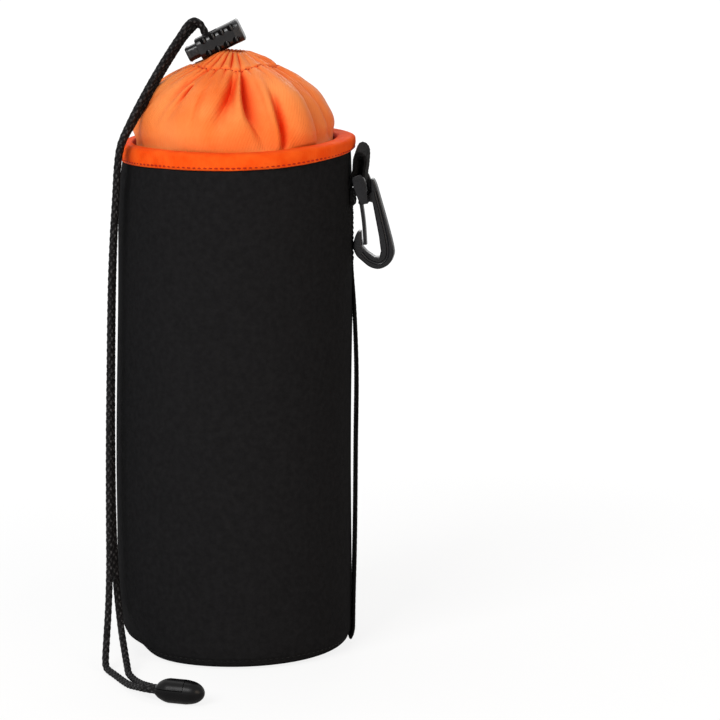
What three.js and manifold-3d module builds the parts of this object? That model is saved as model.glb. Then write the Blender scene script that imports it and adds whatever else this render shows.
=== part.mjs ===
// Lens pouch: a padded tube with a gathered drawcord collar, a belt strap and a snap hook on a webbing tab.
// Millimetres, +Z up. The origin is the centre of the flat base. The front of the pouch faces -Y.

import * as THREE from 'three';
import { mergeVertices } from 'three/addons/utils/BufferGeometryUtils.js';
import Module from 'manifold-3d';

const wasm = await Module();
wasm.setup();

// Driving dimensions: shared values
const seatGap = 0.3;
const overrun = 3;
const roundSegments = 48;

// Driving dimensions: padded tube and base
const baseRadius = 52;
const rimTaper = 1;
const foam = 5;
const sleeveHeight = 224;
const cornerRadius = 10;
const baseSeamHeight = 3;
const footShare = 0.5;
const tapeThickness = 1;
const tapeReach = 4;
const sideTapeWidth = 14;

// Driving dimensions: rim binding
const bindingThickness = 1.1;
const bindingPuff = 0.5;
const bindingLeg = 4.6;
const bindingCrown = 2.1;

// Driving dimensions: gathered collar
const collarFabric = 1;
const collarHemDrop = 16;
const domeHeight = 35;
const mouthCordRadius = 8;
const mouthOffset = 2.3;
const channelWall = 1;
const foldDepth = 1.2;
const foldCount = 12;
const foldSteps = 4;
const minorFoldCount = 9;
const minorFoldShare = 0.35;

// Driving dimensions: cord
const cordDiameter = 3.2;
const strandPitch = 3.5;
const cordTurnShare = 0.62;
const cordSides = 8;

// Driving dimensions: cord lock
const lockTilt = THREE.MathUtils.degToRad(25.9);
const lockLift = 8.7;
const barrelLength = 20.7;
const barrelHeight = 9.7;
const barrelWidth = 12.4;
const barrelCorner = 3.2;
const barrelEndWall = 1.5;
const barrelMouthToCord = 5.7;
const plungerHeight = 6.3;
const plungerWidth = 9.6;
const plungerCorner = 2;
const plungerProud = 5.4;
const plungerFit = 0.2;
const pressTravel = 3.5;
const cordFit = 0.15;
const springRoom = 6.5;
const springWire = 0.6;
const springTurns = 5;
const ribCount = 4;
const ribStart = 4.2;
const ribPitch = 4.35;
const ribWidth = 1;
const ribLength = 2.6;
const ribProud = 0.5;
const ribRowOffset = 2.75;

// Driving dimensions: cord end
const cordEndLength = 21.5;
const cordEndHalfHeight = 5.25;
const cordEndHalfWidth = 5.1;
const cordEndPlace = new THREE.Vector3(-29.6, -99.6, cordEndHalfHeight);
const cordEndHeading = THREE.MathUtils.degToRad(-19);
const cordEndGrip = 8;
const lidLength = 13.5;
const lidParting = 1.2;
const cordEndFit = 0.3;

// Driving dimensions: belt strap
const strapTurn = THREE.MathUtils.degToRad(3);
const strapWidth = 18;
const strapThickness = 1.2;
const strapDrop = 26.5;
const strapPatch = 26;
const strapSlack = 2.1;

// Driving dimensions: tab and snap hook
const tabTurn = THREE.MathUtils.degToRad(-8);
const tabWidth = 12;
const tabThickness = 1.2;
const tabDrop = 25.5;
const tabHeight = 28.2;
const barRadius = 1.5;
const barOut = 5.2;
const barRise = 11.1;
const wrapShare = 0.62;
const hookTilt = THREE.MathUtils.degToRad(11.7);
const hookLength = 40;
const hookReach = 8.9;
const hookThickness = 5.4;
const hookEdge = 0.5;
const cheekThickness = 2;
const cheekFit = 0.4;
const grooveWidth = 1.3;
const grooveDepth = 0.7;
const gateThickness = 1.36;
const gateWidth = 4;
const gateKnuckle = 1.1;

// Basic shapes

function material(color, roughness, metalness = 0) {
  return new THREE.MeshStandardMaterial({ color, roughness, metalness });
}

function solidOf(geometry) {
  const bare = geometry.clone();
  bare.deleteAttribute('normal');
  bare.deleteAttribute('uv');
  const merged = mergeVertices(bare, 1e-5);
  return new wasm.Manifold(new wasm.Mesh({
    numProp: 3,
    vertProperties: new Float32Array(merged.attributes.position.array),
    triVerts: new Uint32Array(merged.index.array),
  }));
}

function geometryOf(solid) {
  const mesh = solid.getMesh();
  const geometry = new THREE.BufferGeometry();
  geometry.setAttribute('position', new THREE.BufferAttribute(mesh.vertProperties, mesh.numProp));
  geometry.setIndex(new THREE.BufferAttribute(mesh.triVerts, 1));
  geometry.computeVertexNormals();
  return geometry;
}

function join(...geometries) {
  return geometryOf(geometries.map(solidOf).reduce((all, next) => all.add(next)));
}

function cut(geometry, ...tools) {
  return geometryOf(tools.map(solidOf).reduce((left, tool) => left.subtract(tool), solidOf(geometry)));
}

function overlapOf(geometry, other) {
  return geometryOf(solidOf(geometry).intersect(solidOf(other)));
}

function arc(centreX, centreY, radius, from, to, steps) {
  return Array.from({ length: steps + 1 }, (_, i) => {
    const angle = from + (to - from) * i / steps;
    return new THREE.Vector2(centreX + radius * Math.cos(angle), centreY + radius * Math.sin(angle));
  });
}

function lathe(profile) {
  return new THREE.LatheGeometry([...profile, profile[0].clone()], roundSegments).rotateX(Math.PI / 2);
}

function solidLathe(profile) {
  return new THREE.LatheGeometry(profile, roundSegments).rotateX(Math.PI / 2);
}

function box(fromX, toX, fromY, toY, fromZ, toZ) {
  return new THREE.BoxGeometry(toX - fromX, toY - fromY, toZ - fromZ)
    .translate((fromX + toX) / 2, (fromY + toY) / 2, (fromZ + toZ) / 2);
}

function roundedRectangle(width, height, corner) {
  const shape = new THREE.Shape();
  const x = width / 2 - corner;
  const y = height / 2 - corner;
  shape.absarc(x, y, corner, 0, Math.PI / 2);
  shape.absarc(-x, y, corner, Math.PI / 2, Math.PI);
  shape.absarc(-x, -y, corner, Math.PI, Math.PI * 3 / 2);
  shape.absarc(x, -y, corner, Math.PI * 3 / 2, Math.PI * 2);
  return shape;
}

// A plate whose outline lies in the XZ plane, centred on Y
function uprightPlate(shape, thickness, edge = 0) {
  return new THREE.ExtrudeGeometry(shape, {
    depth: thickness - 2 * edge,
    bevelEnabled: edge > 0,
    bevelThickness: edge,
    bevelSize: edge,
    bevelOffset: -edge,
    bevelSegments: 2,
    curveSegments: 6,
  }).translate(0, 0, edge - thickness / 2).rotateX(Math.PI / 2);
}

// A bar of one section that runs along X; the section's first axis is Z and its second is Y
function barAlongX(shape, fromX, toX) {
  return new THREE.ExtrudeGeometry(shape, { depth: toX - fromX, bevelEnabled: false, curveSegments: 4 })
    .rotateY(Math.PI / 2)
    .translate(fromX, 0, 0);
}

// The edge-on outline of a webbing strip along a smooth line
function stripShape(line, thickness, steps) {
  const curve = new THREE.SplineCurve(line);
  const left = [];
  const right = [];
  for (let i = 0; i <= steps; i += 1) {
    const point = curve.getPoint(i / steps);
    const tangent = curve.getTangent(i / steps);
    const across = new THREE.Vector2(-tangent.y, tangent.x).multiplyScalar(thickness / 2);
    left.push(point.clone().add(across));
    right.push(point.clone().sub(across));
  }
  return new THREE.Shape([...right, ...left.reverse()]);
}

// A closed surface round a ring: pointAt(turn, loop) gives a point for two angles
function ringSurface(around, across, pointAt) {
  const positions = [];
  const indices = [];
  for (let i = 0; i < around; i += 1) {
    for (let j = 0; j < across; j += 1) {
      const point = pointAt(2 * Math.PI * i / around, j);
      positions.push(point.x, point.y, point.z);
      const nextI = (i + 1) % around;
      const nextJ = (j + 1) % across;
      const corner = i * across + j;
      const beside = nextI * across + j;
      const above = i * across + nextJ;
      const opposite = nextI * across + nextJ;
      indices.push(corner, beside, opposite, corner, opposite, above);
    }
  }
  const geometry = new THREE.BufferGeometry();
  geometry.setAttribute('position', new THREE.Float32BufferAttribute(positions, 3));
  geometry.setIndex(indices);
  geometry.computeVertexNormals();
  return geometry;
}

// A closed body through elliptical rings along X
function loft(rings, sides) {
  const positions = [];
  const indices = [];
  for (const ring of rings) {
    for (let j = 0; j < sides; j += 1) {
      const angle = 2 * Math.PI * j / sides;
      positions.push(ring.x, ring.halfWidth * Math.cos(angle), ring.halfHeight * Math.sin(angle));
    }
  }
  for (let i = 0; i < rings.length - 1; i += 1) {
    for (let j = 0; j < sides; j += 1) {
      const next = (j + 1) % sides;
      const a = i * sides + j;
      const b = i * sides + next;
      indices.push(a, a + sides, b + sides, a, b + sides, b);
    }
  }
  const last = (rings.length - 1) * sides;
  for (let j = 1; j < sides - 1; j += 1) {
    indices.push(0, j, j + 1);
    indices.push(last, last + j + 1, last + j);
  }
  const geometry = new THREE.BufferGeometry();
  geometry.setAttribute('position', new THREE.Float32BufferAttribute(positions, 3));
  geometry.setIndex(indices.reverse());
  geometry.computeVertexNormals();
  return geometry;
}

// A tube whose rings lie at the route's own points
function cordTube(route) {
  const curve = new THREE.CatmullRomCurve3(route);
  curve.getPointAt = curve.getPoint;
  curve.getTangentAt = curve.getTangent;
  const section = new THREE.Shape(arc(0, 0, cordDiameter / 2, 0, 2 * Math.PI, cordSides).slice(0, cordSides));
  return new THREE.ExtrudeGeometry(section, {
    steps: route.length - 1,
    extrudePath: curve,
    bevelEnabled: false,
  });
}

// Derived sizes of the padded tube
const cornerCentre = baseRadius - cornerRadius;
const innerCorner = cornerRadius - foam;
const footInner = cornerCentre + innerCorner * footShare;
const footAngle = Math.acos(footShare);
const discStep = footInner - seatGap;
const rimRadius = baseRadius - rimTaper;
const rimInner = rimRadius - foam;
const rimTop = sleeveHeight + bindingCrown + seatGap;

function cornerAngle(height) {
  return Math.asin((cornerRadius - height) / cornerRadius);
}

function sleeveRadiusAt(height) {
  const share = (height - cornerRadius) / (sleeveHeight - cornerRadius);
  return baseRadius + (rimRadius - baseRadius) * share;
}

function sleeve() {
  const bottom = baseSeamHeight + seatGap / 2;
  return lathe([
    new THREE.Vector2(footInner, bottom),
    ...arc(cornerCentre, cornerRadius, cornerRadius, -cornerAngle(bottom), 0, 4),
    new THREE.Vector2(rimRadius, sleeveHeight),
    new THREE.Vector2(rimInner, sleeveHeight),
    ...arc(cornerCentre, cornerRadius, innerCorner, 0, -footAngle, 3),
  ]);
}

function baseDisc() {
  const top = baseSeamHeight - seatGap / 2;
  return solidLathe([
    new THREE.Vector2(0, 0),
    ...arc(cornerCentre, cornerRadius, cornerRadius, -Math.PI / 2, -cornerAngle(top), 4),
    new THREE.Vector2(discStep, top),
    new THREE.Vector2(discStep, foam),
    new THREE.Vector2(0, foam),
  ]);
}

function baseSeamTape() {
  const outer = innerCorner - seatGap;
  const inner = outer - tapeThickness;
  const under = foam + seatGap;
  const top = cornerRadius + tapeReach;
  return lathe([
    new THREE.Vector2(discStep - tapeReach, under),
    new THREE.Vector2(discStep, under),
    ...arc(cornerCentre, cornerRadius, outer, -footAngle, 0, 2),
    new THREE.Vector2(cornerCentre + outer - (baseRadius - sleeveRadiusAt(top)), top),
    new THREE.Vector2(cornerCentre + inner, top),
    ...arc(cornerCentre, cornerRadius, inner, 0, -footAngle, 2),
    new THREE.Vector2(discStep - tapeReach, under + tapeThickness),
  ]);
}

function sideSeamTape() {
  const bottom = cornerRadius + tapeReach + seatGap;
  const top = sleeveHeight - collarHemDrop - seatGap;
  const outer = (height) => sleeveRadiusAt(height) - foam - seatGap;
  const ring = lathe([
    new THREE.Vector2(outer(bottom) - tapeThickness, bottom),
    new THREE.Vector2(outer(bottom), bottom),
    new THREE.Vector2(outer(top), top),
    new THREE.Vector2(outer(top) - tapeThickness, top),
  ]);
  const slice = box(0, baseRadius, -sideTapeWidth / 2, sideTapeWidth / 2, 0, sleeveHeight);
  return overlapOf(ring, slice);
}

function rimBinding() {
  const outer = rimRadius + seatGap + bindingThickness;
  const inner = rimInner - seatGap - bindingThickness;
  const bottom = sleeveHeight - bindingLeg;
  const crownCentre = rimTop - bindingCrown;
  const outerLegTop = new THREE.Vector2(outer + bindingPuff, (bottom + crownCentre) / 2);
  return lathe([
    new THREE.Vector2(rimRadius + seatGap, bottom),
    new THREE.Vector2(outer, bottom),
    outerLegTop,
    ...arc(outer - bindingCrown, crownCentre, bindingCrown, 0, Math.PI / 2, 3),
    ...arc(inner + bindingCrown, crownCentre, bindingCrown, Math.PI / 2, Math.PI, 3),
    new THREE.Vector2(inner, bottom),
    new THREE.Vector2(rimInner - seatGap, bottom),
    new THREE.Vector2(rimInner - seatGap, sleeveHeight + seatGap),
    new THREE.Vector2(rimRadius + seatGap, sleeveHeight + seatGap),
  ]);
}

// Gathered collar
const neckRadius = rimInner - 2 * seatGap - bindingThickness - collarFabric / 2;
const hemBottom = sleeveHeight - collarHemDrop;
const hemTop = sleeveHeight - bindingLeg - seatGap - collarFabric;
const mouthHeight = sleeveHeight + bindingCrown + domeHeight;
const tunnelRadius = cordDiameter / 2 + seatGap;
const channelRadius = tunnelRadius + channelWall;
const domeShares = [
  [1, 0], [1, 0.12], [0.988, 0.22], [0.957, 0.33], [0.87, 0.55], [0.775, 0.67], [0.66, 0.78], [0.52, 0.89], [0.33, 0.98],
];

function hemAt(height) {
  return new THREE.Vector2(sleeveRadiusAt(height) - foam - seatGap - collarFabric / 2, height);
}

function collarLine() {
  const shellEnd = mouthCordRadius + (tunnelRadius + channelRadius) / 2;
  return [
    hemAt(hemBottom),
    hemAt(hemTop - collarFabric),
    new THREE.Vector2(neckRadius, hemTop + collarFabric),
    ...domeShares.map(([radiusShare, heightShare]) => new THREE.Vector2(
      neckRadius * radiusShare, rimTop + (mouthHeight - rimTop) * heightShare)),
    new THREE.Vector2(shellEnd, mouthHeight),
  ];
}

function foldAt(turn, radius) {
  const inward = THREE.MathUtils.clamp((neckRadius - radius) / (neckRadius - mouthCordRadius), 0, 1);
  const gather = inward * inward * (3 - 2 * inward) * (1 - inward ** 8);
  const wave = Math.cos(foldCount * turn) + minorFoldShare * Math.cos(minorFoldCount * turn + 1);
  return foldDepth * gather * wave / (1 + minorFoldShare);
}

function collarShell() {
  const line = collarLine();
  const curve = new THREE.SplineCurve(line);
  const steps = line.length - 1;
  const loop = [];
  for (let i = 0; i <= steps; i += 1) {
    loop.push({ share: i / steps, side: 1 });
  }
  for (let i = steps; i >= 0; i -= 1) {
    loop.push({ share: i / steps, side: -1 });
  }
  return ringSurface(foldCount * foldSteps, loop.length, (turn, j) => {
    const { share, side } = loop[j];
    const point = curve.getPoint(share);
    const tangent = curve.getTangent(share);
    const fold = foldAt(turn, point.x) + side * collarFabric / 2;
    const radius = point.x + tangent.y * fold;
    const lean = mouthOffset * THREE.MathUtils.clamp((point.y - rimTop) / (mouthHeight - rimTop), 0, 1);
    return new THREE.Vector3(radius * Math.cos(turn) + lean, radius * Math.sin(turn), point.y - tangent.x * fold);
  });
}

function mouthChannel() {
  const sides = 8;
  return ringSurface(foldCount * foldSteps, sides, (turn, j) => {
    const angle = 2 * Math.PI * j / sides;
    const puff = channelRadius + foldDepth * minorFoldShare * Math.cos(foldCount * turn);
    const radius = mouthCordRadius + puff * Math.cos(angle);
    return new THREE.Vector3(
      radius * Math.cos(turn) + mouthOffset,
      radius * Math.sin(turn),
      mouthHeight + puff * Math.sin(angle));
  });
}

// The lock's frame: X along the barrel towards its closed end, Z along the cord towards its free strands
const lockSeat = new THREE.Vector3(mouthOffset - mouthCordRadius, 0, mouthHeight);

function placeInLockFrame(geometry) {
  return geometry.rotateY(-lockTilt).translate(lockSeat.x, lockSeat.y, lockSeat.z);
}

function cordExit() {
  const half = tunnelRadius + seatGap;
  const reach = strandPitch / 2 + cordDiameter;
  return placeInLockFrame(box(-half, half, -reach, reach, 0, channelRadius + overrun));
}

function collar() {
  const tunnel = new THREE.TorusGeometry(mouthCordRadius, tunnelRadius, cordSides, foldCount * 2)
    .translate(mouthOffset, 0, mouthHeight);
  return cut(join(collarShell(), mouthChannel()), tunnel, cordExit());
}

// Drawcord in the channel: round the mouth, with both ends turned up under the lock
function drawcordLoop() {
  const stubTop = channelRadius + seatGap;
  const start = Math.asin((strandPitch / 2 + cordDiameter * cordTurnShare) / mouthCordRadius);
  const steps = 22;
  const up = new THREE.Vector3(-Math.sin(lockTilt), 0, Math.cos(lockTilt));
  const stub = (side, height) => lockSeat.clone()
    .add(new THREE.Vector3(0, side * strandPitch / 2, 0))
    .addScaledVector(up, height);
  const ring = Array.from({ length: steps + 1 }, (_, i) => {
    const turn = Math.PI + start + (2 * Math.PI - 2 * start) * i / steps;
    return new THREE.Vector3(
      mouthOffset + mouthCordRadius * Math.cos(turn), mouthCordRadius * Math.sin(turn), mouthHeight);
  });
  return cordTube([
    stub(-1, stubTop),
    stub(-1, cordDiameter / 2),
    ...ring,
    stub(1, cordDiameter / 2),
    stub(1, stubTop),
  ]);
}

// Routes of the two free strands: up through the lock, over the collar's left side, down and along the floor
const frontRoute = [
  [-7.3, -1.75, 264.2], [-8.7, -1.75, 267.1], [-10.1, -1.75, 270], [-11.4, -1.75, 272.7], [-12.3, -1.9, 274.6],
  [-13.9, -2.3, 276.9], [-16.3, -3, 277.9], [-19, -4, 275.9], [-22.4, -5.6, 271], [-27, -8.2, 264.4],
  [-33.3, -12.4, 254.6], [-39.4, -18.2, 244], [-44.4, -23.5, 235], [-48.6, -27.3, 226.4], [-50.9, -27.9, 217],
  [-51.7, -27.3, 204], [-52.4, -26.6, 188], [-53, -26.2, 170], [-53.7, -25.8, 150], [-54.3, -25.6, 128],
  [-54.8, -25.8, 106], [-55.3, -26, 84], [-55.9, -26.4, 62], [-56.5, -27, 42], [-56.9, -28.2, 25],
  [-57.1, -30.6, 11], [-57, -34, 4.6], [-56.6, -39, 2], [-55.8, -47, 1.7], [-54.6, -56, 1.7],
  [-52, -65, 1.7], [-47.6, -74, 1.7], [-43, -83, 1.9], [-38.8, -91, 2.6], [-34.9, -97.5, 4.1],
  [-30.17, -101.25, 5.25], [-26.4, -102.56, 5.25], [-22.6, -103.86, 5.25],
];
const rearRoute = [
  [-7.3, 1.75, 264.2], [-8.7, 1.75, 267.1], [-10.1, 1.75, 270], [-11.4, 1.75, 272.7], [-12.3, 1.75, 274.6],
  [-13.6, 1.5, 276.6], [-15.6, 1, 277.4], [-17.9, 0.2, 275.6], [-20.9, -1.4, 271], [-25.3, -4.2, 264.2],
  [-31.6, -8.4, 254.6], [-37.8, -13.6, 244.4], [-43.2, -19, 235.8], [-48.2, -23.4, 227], [-50.4, -24.1, 218.6],
  [-50.9, -23.5, 205], [-51.3, -23, 188], [-51.7, -22.7, 170], [-52.1, -22.4, 150], [-52.5, -22.2, 128],
  [-52.9, -22.3, 106], [-53.1, -22.6, 84], [-53, -23.2, 62], [-52.5, -24.4, 42], [-51.7, -26.4, 25],
  [-50.8, -29.6, 11], [-49.8, -33.6, 4.6], [-48.6, -39.6, 2], [-46.9, -48, 1.7], [-44.8, -57, 1.7],
  [-42.4, -66, 1.7], [-39.6, -75, 1.7], [-36.6, -84, 1.9], [-33.8, -91, 2.9], [-31.6, -95.6, 4.3],
  [-29, -97.95, 5.25], [-25.3, -99.23, 5.25], [-21.5, -100.53, 5.25],
];

function strand(route) {
  return cordTube(route.map(([x, y, z]) => new THREE.Vector3(x, y, z)));
}

// Cord lock, built in its own frame
const barrelStart = -barrelMouthToCord;
const barrelEnd = barrelStart + barrelLength;
const boreEnd = barrelEnd - barrelEndWall;
const plungerEnd = boreEnd - springRoom;
const cordHalf = cordDiameter / 2 + cordFit;
const holeLength = 2 * cordHalf + pressTravel;
const holeWidth = strandPitch + 2 * cordHalf;

function cordHole(fromX) {
  const corner = cordHalf / 2;
  return new THREE.ExtrudeGeometry(roundedRectangle(holeLength, holeWidth, corner), {
    depth: barrelHeight + 2 * overrun, bevelEnabled: false, curveSegments: 2,
  }).translate(fromX + holeLength / 2, 0, -barrelHeight / 2 - overrun);
}

function gripRibs() {
  const ribs = [];
  for (let i = 0; i < ribCount; i += 1) {
    const x = barrelStart + ribStart + ribPitch * i;
    for (const row of [-ribRowOffset, ribRowOffset]) {
      ribs.push(box(x - ribWidth / 2, x + ribWidth / 2, -barrelWidth / 2 - ribProud, barrelWidth / 2 + ribProud,
        row - ribLength / 2, row + ribLength / 2));
    }
  }
  return ribs;
}

function lockBarrel() {
  const body = barAlongX(roundedRectangle(barrelHeight, barrelWidth, barrelCorner), barrelStart, barrelEnd);
  const boreHeight = plungerHeight + 2 * plungerFit;
  const boreWidth = plungerWidth + 2 * plungerFit;
  const bore = barAlongX(roundedRectangle(boreHeight, boreWidth, plungerCorner + plungerFit),
    barrelStart - overrun, boreEnd);
  return cut(join(body, ...gripRibs()), bore, cordHole(-cordHalf));
}

function lockPlunger() {
  const body = barAlongX(roundedRectangle(plungerHeight, plungerWidth, plungerCorner),
    barrelStart - plungerProud, plungerEnd);
  return cut(body, cordHole(cordHalf - holeLength));
}

class SpringCurve extends THREE.Curve {
  getPoint(share) {
    const length = springRoom - 2 * seatGap - springWire;
    const radius = plungerHeight / 2 - springWire - plungerFit;
    const turn = 2 * Math.PI * springTurns * share;
    const x = plungerEnd + seatGap + springWire / 2 + length * share;
    return new THREE.Vector3(x, radius * Math.cos(turn), radius * Math.sin(turn));
  }
}

function lockSpring() {
  const section = new THREE.Shape(arc(0, 0, springWire / 2, 0, 2 * Math.PI, 5).slice(0, 5));
  return new THREE.ExtrudeGeometry(section, {
    steps: 8 * springTurns, extrudePath: new SpringCurve(), bevelEnabled: false,
  });
}

// Cord end: two halves of a smooth egg that close over the strands
const cordEndShares = [
  [0, 0.88, 0.46], [0.07, 0.94, 0.75], [0.16, 0.98, 0.92], [0.33, 1, 1], [0.6, 1, 1], [0.79, 0.88, 0.88],
  [0.92, 0.59, 0.59], [0.985, 0.27, 0.27], [1, 0.1, 0.1],
];

function cordEndEgg() {
  return loft(cordEndShares.map(([along, wide, high]) => ({
    x: cordEndLength * along, halfWidth: cordEndHalfWidth * wide, halfHeight: cordEndHalfHeight * high,
  })), 20);
}

function cordEndChannel() {
  const slot = roundedRectangle(cordDiameter + 2 * cordEndFit, strandPitch + cordDiameter + 2 * cordEndFit,
    cordDiameter / 2);
  return barAlongX(slot, -overrun, cordEndGrip + cordEndFit);
}

function lidSpace(gap) {
  const side = cordEndHalfWidth + overrun;
  return box(-overrun, lidLength - gap, -side, side, lidParting + gap, cordEndHalfHeight + overrun);
}

function cordEndShell() {
  return cut(cordEndEgg(), lidSpace(0), cordEndChannel());
}

function cordEndLid() {
  return cut(overlapOf(cordEndEgg(), lidSpace(seatGap)), cordEndChannel());
}

// Belt strap: sewn flat at the top, standing off the tube below, turned in at the base seam
const strapShares = [[0, 0], [0.13, 0.62], [0.3, 1], [0.5, 0.78], [0.75, 0.5], [0.93, 0.12], [1, 0]];

function beltStrap() {
  const offset = seatGap + strapThickness / 2;
  const strapTop = sleeveHeight - strapDrop;
  const patchBottom = strapTop - strapPatch;
  const freeBottom = cornerRadius;
  const on = (height, out = 0) => new THREE.Vector2(sleeveRadiusAt(height) + offset + out, height);
  const line = [
    on(strapTop),
    on((strapTop + patchBottom) / 2),
    ...strapShares.map(([down, slack]) => on(
      patchBottom + (freeBottom - patchBottom) * down, strapSlack * slack)),
    ...arc(cornerCentre, cornerRadius, cornerRadius + offset, 0, -cornerAngle(baseSeamHeight), 3).slice(1),
  ];
  return uprightPlate(stripShape(line, strapThickness, 44), strapWidth);
}

// Tab: two legs sewn one on the other, with a loop that stands over the rim and carries the hook's bar
const tabBottom = sleeveHeight - tabDrop;
const barHeight = tabBottom + barRise;
const legInner = sleeveRadiusAt(tabBottom) + seatGap + tabThickness / 2;
const legOuter = legInner + tabThickness + seatGap;
const barPlace = legInner + barOut - tabThickness / 2 - seatGap;
const wrapRadius = barRadius + seatGap + tabThickness / 2;

function tabLoop() {
  const overRim = rimRadius + seatGap + bindingThickness + bindingPuff + 2 * seatGap + tabThickness / 2;
  const outer = barPlace + wrapRadius;
  const top = tabBottom + tabHeight - tabThickness / 2;
  const bottomOfRim = sleeveHeight - bindingLeg;
  const line = [
    new THREE.Vector2(legInner, tabBottom),
    new THREE.Vector2(legInner, barHeight),
    new THREE.Vector2((legInner + overRim) / 2, (barHeight + bottomOfRim) / 2 + seatGap),
    new THREE.Vector2(overRim, bottomOfRim + seatGap),
    new THREE.Vector2(overRim + seatGap, rimTop - bindingCrown),
    new THREE.Vector2((overRim + outer) / 2 + seatGap, top),
    new THREE.Vector2(outer + seatGap, rimTop - bindingCrown),
    new THREE.Vector2(outer + seatGap, (barHeight + rimTop) / 2),
    new THREE.Vector2(outer, barHeight),
    ...arc(barPlace, barHeight, wrapRadius, 0, -Math.PI * wrapShare, 4).slice(1),
    new THREE.Vector2(legOuter + seatGap / 2, barHeight - 2 * wrapRadius),
    new THREE.Vector2(legOuter, tabBottom + 3 * tabThickness),
    new THREE.Vector2(legOuter, tabBottom),
  ];
  return uprightPlate(stripShape(line, tabThickness, 72), tabWidth);
}

// Snap hook, built round its bar: X outward, Z up along the hook
const hookShares = [
  [0.66, 0.013], [0.79, -0.062], [0.83, -0.21], [0.955, -0.555], [1, -0.805], [0.9, -0.897], [0.6, -0.972],
  [0.11, -1], [-0.32, -0.962], [-0.64, -0.882], [-0.89, -0.802], [-0.945, -0.7], [-0.76, -0.605], [-0.56, -0.545],
];
const hookInnerShares = [
  [-0.42, -0.555], [-0.48, -0.64], [-0.5, -0.725], [-0.34, -0.785], [0, -0.862], [0.23, -0.872], [0.36, -0.81],
  [0.415, -0.645], [0.43, -0.415], [0.44, -0.27], [0.32, -0.255], [0.02, -0.255],
  [-0.1, -0.215], [-0.02, -0.178], [0.3, -0.17], [0.47, -0.14], [0.53, -0.03],
];
const cheekShares = [
  [-0.17, 0.062], [0.23, 0.07], [0.38, 0.02], [0.43, -0.04], [0.33, -0.18], [0.315, -0.255], [0.01, -0.255],
  [-0.11, -0.205], [-0.225, -0.058], [-0.225, 0.03],
];
const grooveShares = [
  [0.69, -0.15], [0.74, -0.4], [0.76, -0.72], [0.62, -0.88], [0.2, -0.94], [-0.28, -0.885], [-0.58, -0.79],
];
const gateRootShares = [-0.135, -0.243];
const gateTipShares = [-0.36, -0.712];

function hookPoint([out, up]) {
  return new THREE.Vector2(hookReach * out, hookLength * up);
}

function hookOutline() {
  return new THREE.Shape([
    ...new THREE.SplineCurve(hookShares.map(hookPoint)).getPoints(28),
    ...hookInnerShares.map(hookPoint),
  ].reverse());
}

function hookGroove(side) {
  const shape = stripShape(grooveShares.map(hookPoint), grooveWidth, 18);
  const depth = grooveDepth + overrun;
  return uprightPlate(shape, depth).translate(0, side * (hookThickness / 2 + depth / 2 - grooveDepth), 0);
}

function cheek(side) {
  const shape = new THREE.Shape(cheekShares.map(hookPoint).reverse());
  const middle = tabWidth / 2 + cheekFit + cheekThickness / 2;
  return uprightPlate(shape, cheekThickness, hookEdge / 2).translate(0, side * middle, 0);
}

function eyeSpan() {
  return tabWidth + 2 * cheekFit + cheekThickness;
}

function hookBar() {
  return new THREE.CylinderGeometry(barRadius, barRadius, eyeSpan(), 16);
}

// The crosspiece joins the two cheeks under the webbing and carries the gate's knuckle
function crosspiece() {
  const low = hookLength * cheekShares[5][1];
  const high = hookLength * hookInnerShares[13][1];
  const from = hookReach * cheekShares[7][0];
  const to = hookReach * cheekShares[5][0];
  return box(from, to, -eyeSpan() / 2, eyeSpan() / 2, low, high);
}

function gateRoot() {
  return hookPoint(gateRootShares);
}

function knuckleSocket() {
  const root = gateRoot();
  const radius = gateKnuckle + seatGap;
  const width = gateWidth + 2 * seatGap;
  const pocket = new THREE.CylinderGeometry(radius, radius, width, 16).translate(root.x, 0, root.y);
  const mouth = box(root.x - radius, root.x + radius + gateThickness, -width / 2, width / 2,
    root.y - radius - overrun, root.y);
  return join(pocket, mouth);
}

function hookFrame() {
  const plate = uprightPlate(hookOutline(), hookThickness, hookEdge);
  const whole = join(plate, cheek(-1), cheek(1), hookBar(), crosspiece());
  return cut(whole, hookGroove(-1), hookGroove(1), knuckleSocket());
}

function hookGate() {
  const root = gateRoot();
  const tip = hookPoint(gateTipShares);
  const along = tip.clone().sub(root).normalize();
  const bend = root.clone().lerp(tip, 0.5).add(new THREE.Vector2(along.y, -along.x).multiplyScalar(-seatGap));
  const tongue = uprightPlate(stripShape([root, bend, tip], gateThickness, 8), gateWidth);
  const knuckle = new THREE.CylinderGeometry(gateKnuckle, gateKnuckle, gateWidth, 14)
    .translate(root.x, 0, root.y);
  return join(tongue, knuckle);
}

// Colours from the photograph
const neoprene = () => material(0x1b1919, 0.95);
const lining = () => material(0x26262a, 0.95);
const tape = () => material(0x161616, 0.9);
const bindingOrange = () => material(0xf45118, 0.8);
const satinOrange = () => material(0xfb7433, 0.5);
const cordBlack = () => material(0x18181a, 0.85);
const webbing = () => material(0x17171a, 0.85);
const lockPlastic = () => material(0x3b3a40, 0.5);
const steel = () => material(0xb8babd, 0.3, 1);
const glossBlack = () => material(0x1b1b1d, 0.25);
const hookPlastic = () => material(0x2c2c30, 0.45);

// Assembly
const group = new THREE.Group();

function piece(name, geometry, finish, parent = group) {
  const mesh = new THREE.Mesh(geometry, finish);
  mesh.name = name;
  parent.add(mesh);
  return mesh;
}

piece('sleeve', sleeve(), neoprene());
piece('base_disc', baseDisc(), lining());
piece('base_seam_tape', baseSeamTape(), tape());
piece('rim_binding', rimBinding(), bindingOrange());
piece('collar', collar(), satinOrange());
piece('drawcord_loop', drawcordLoop(), cordBlack());
piece('drawcord_strand_front', strand(frontRoute), cordBlack());
piece('drawcord_strand_rear', strand(rearRoute), cordBlack());

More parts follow.
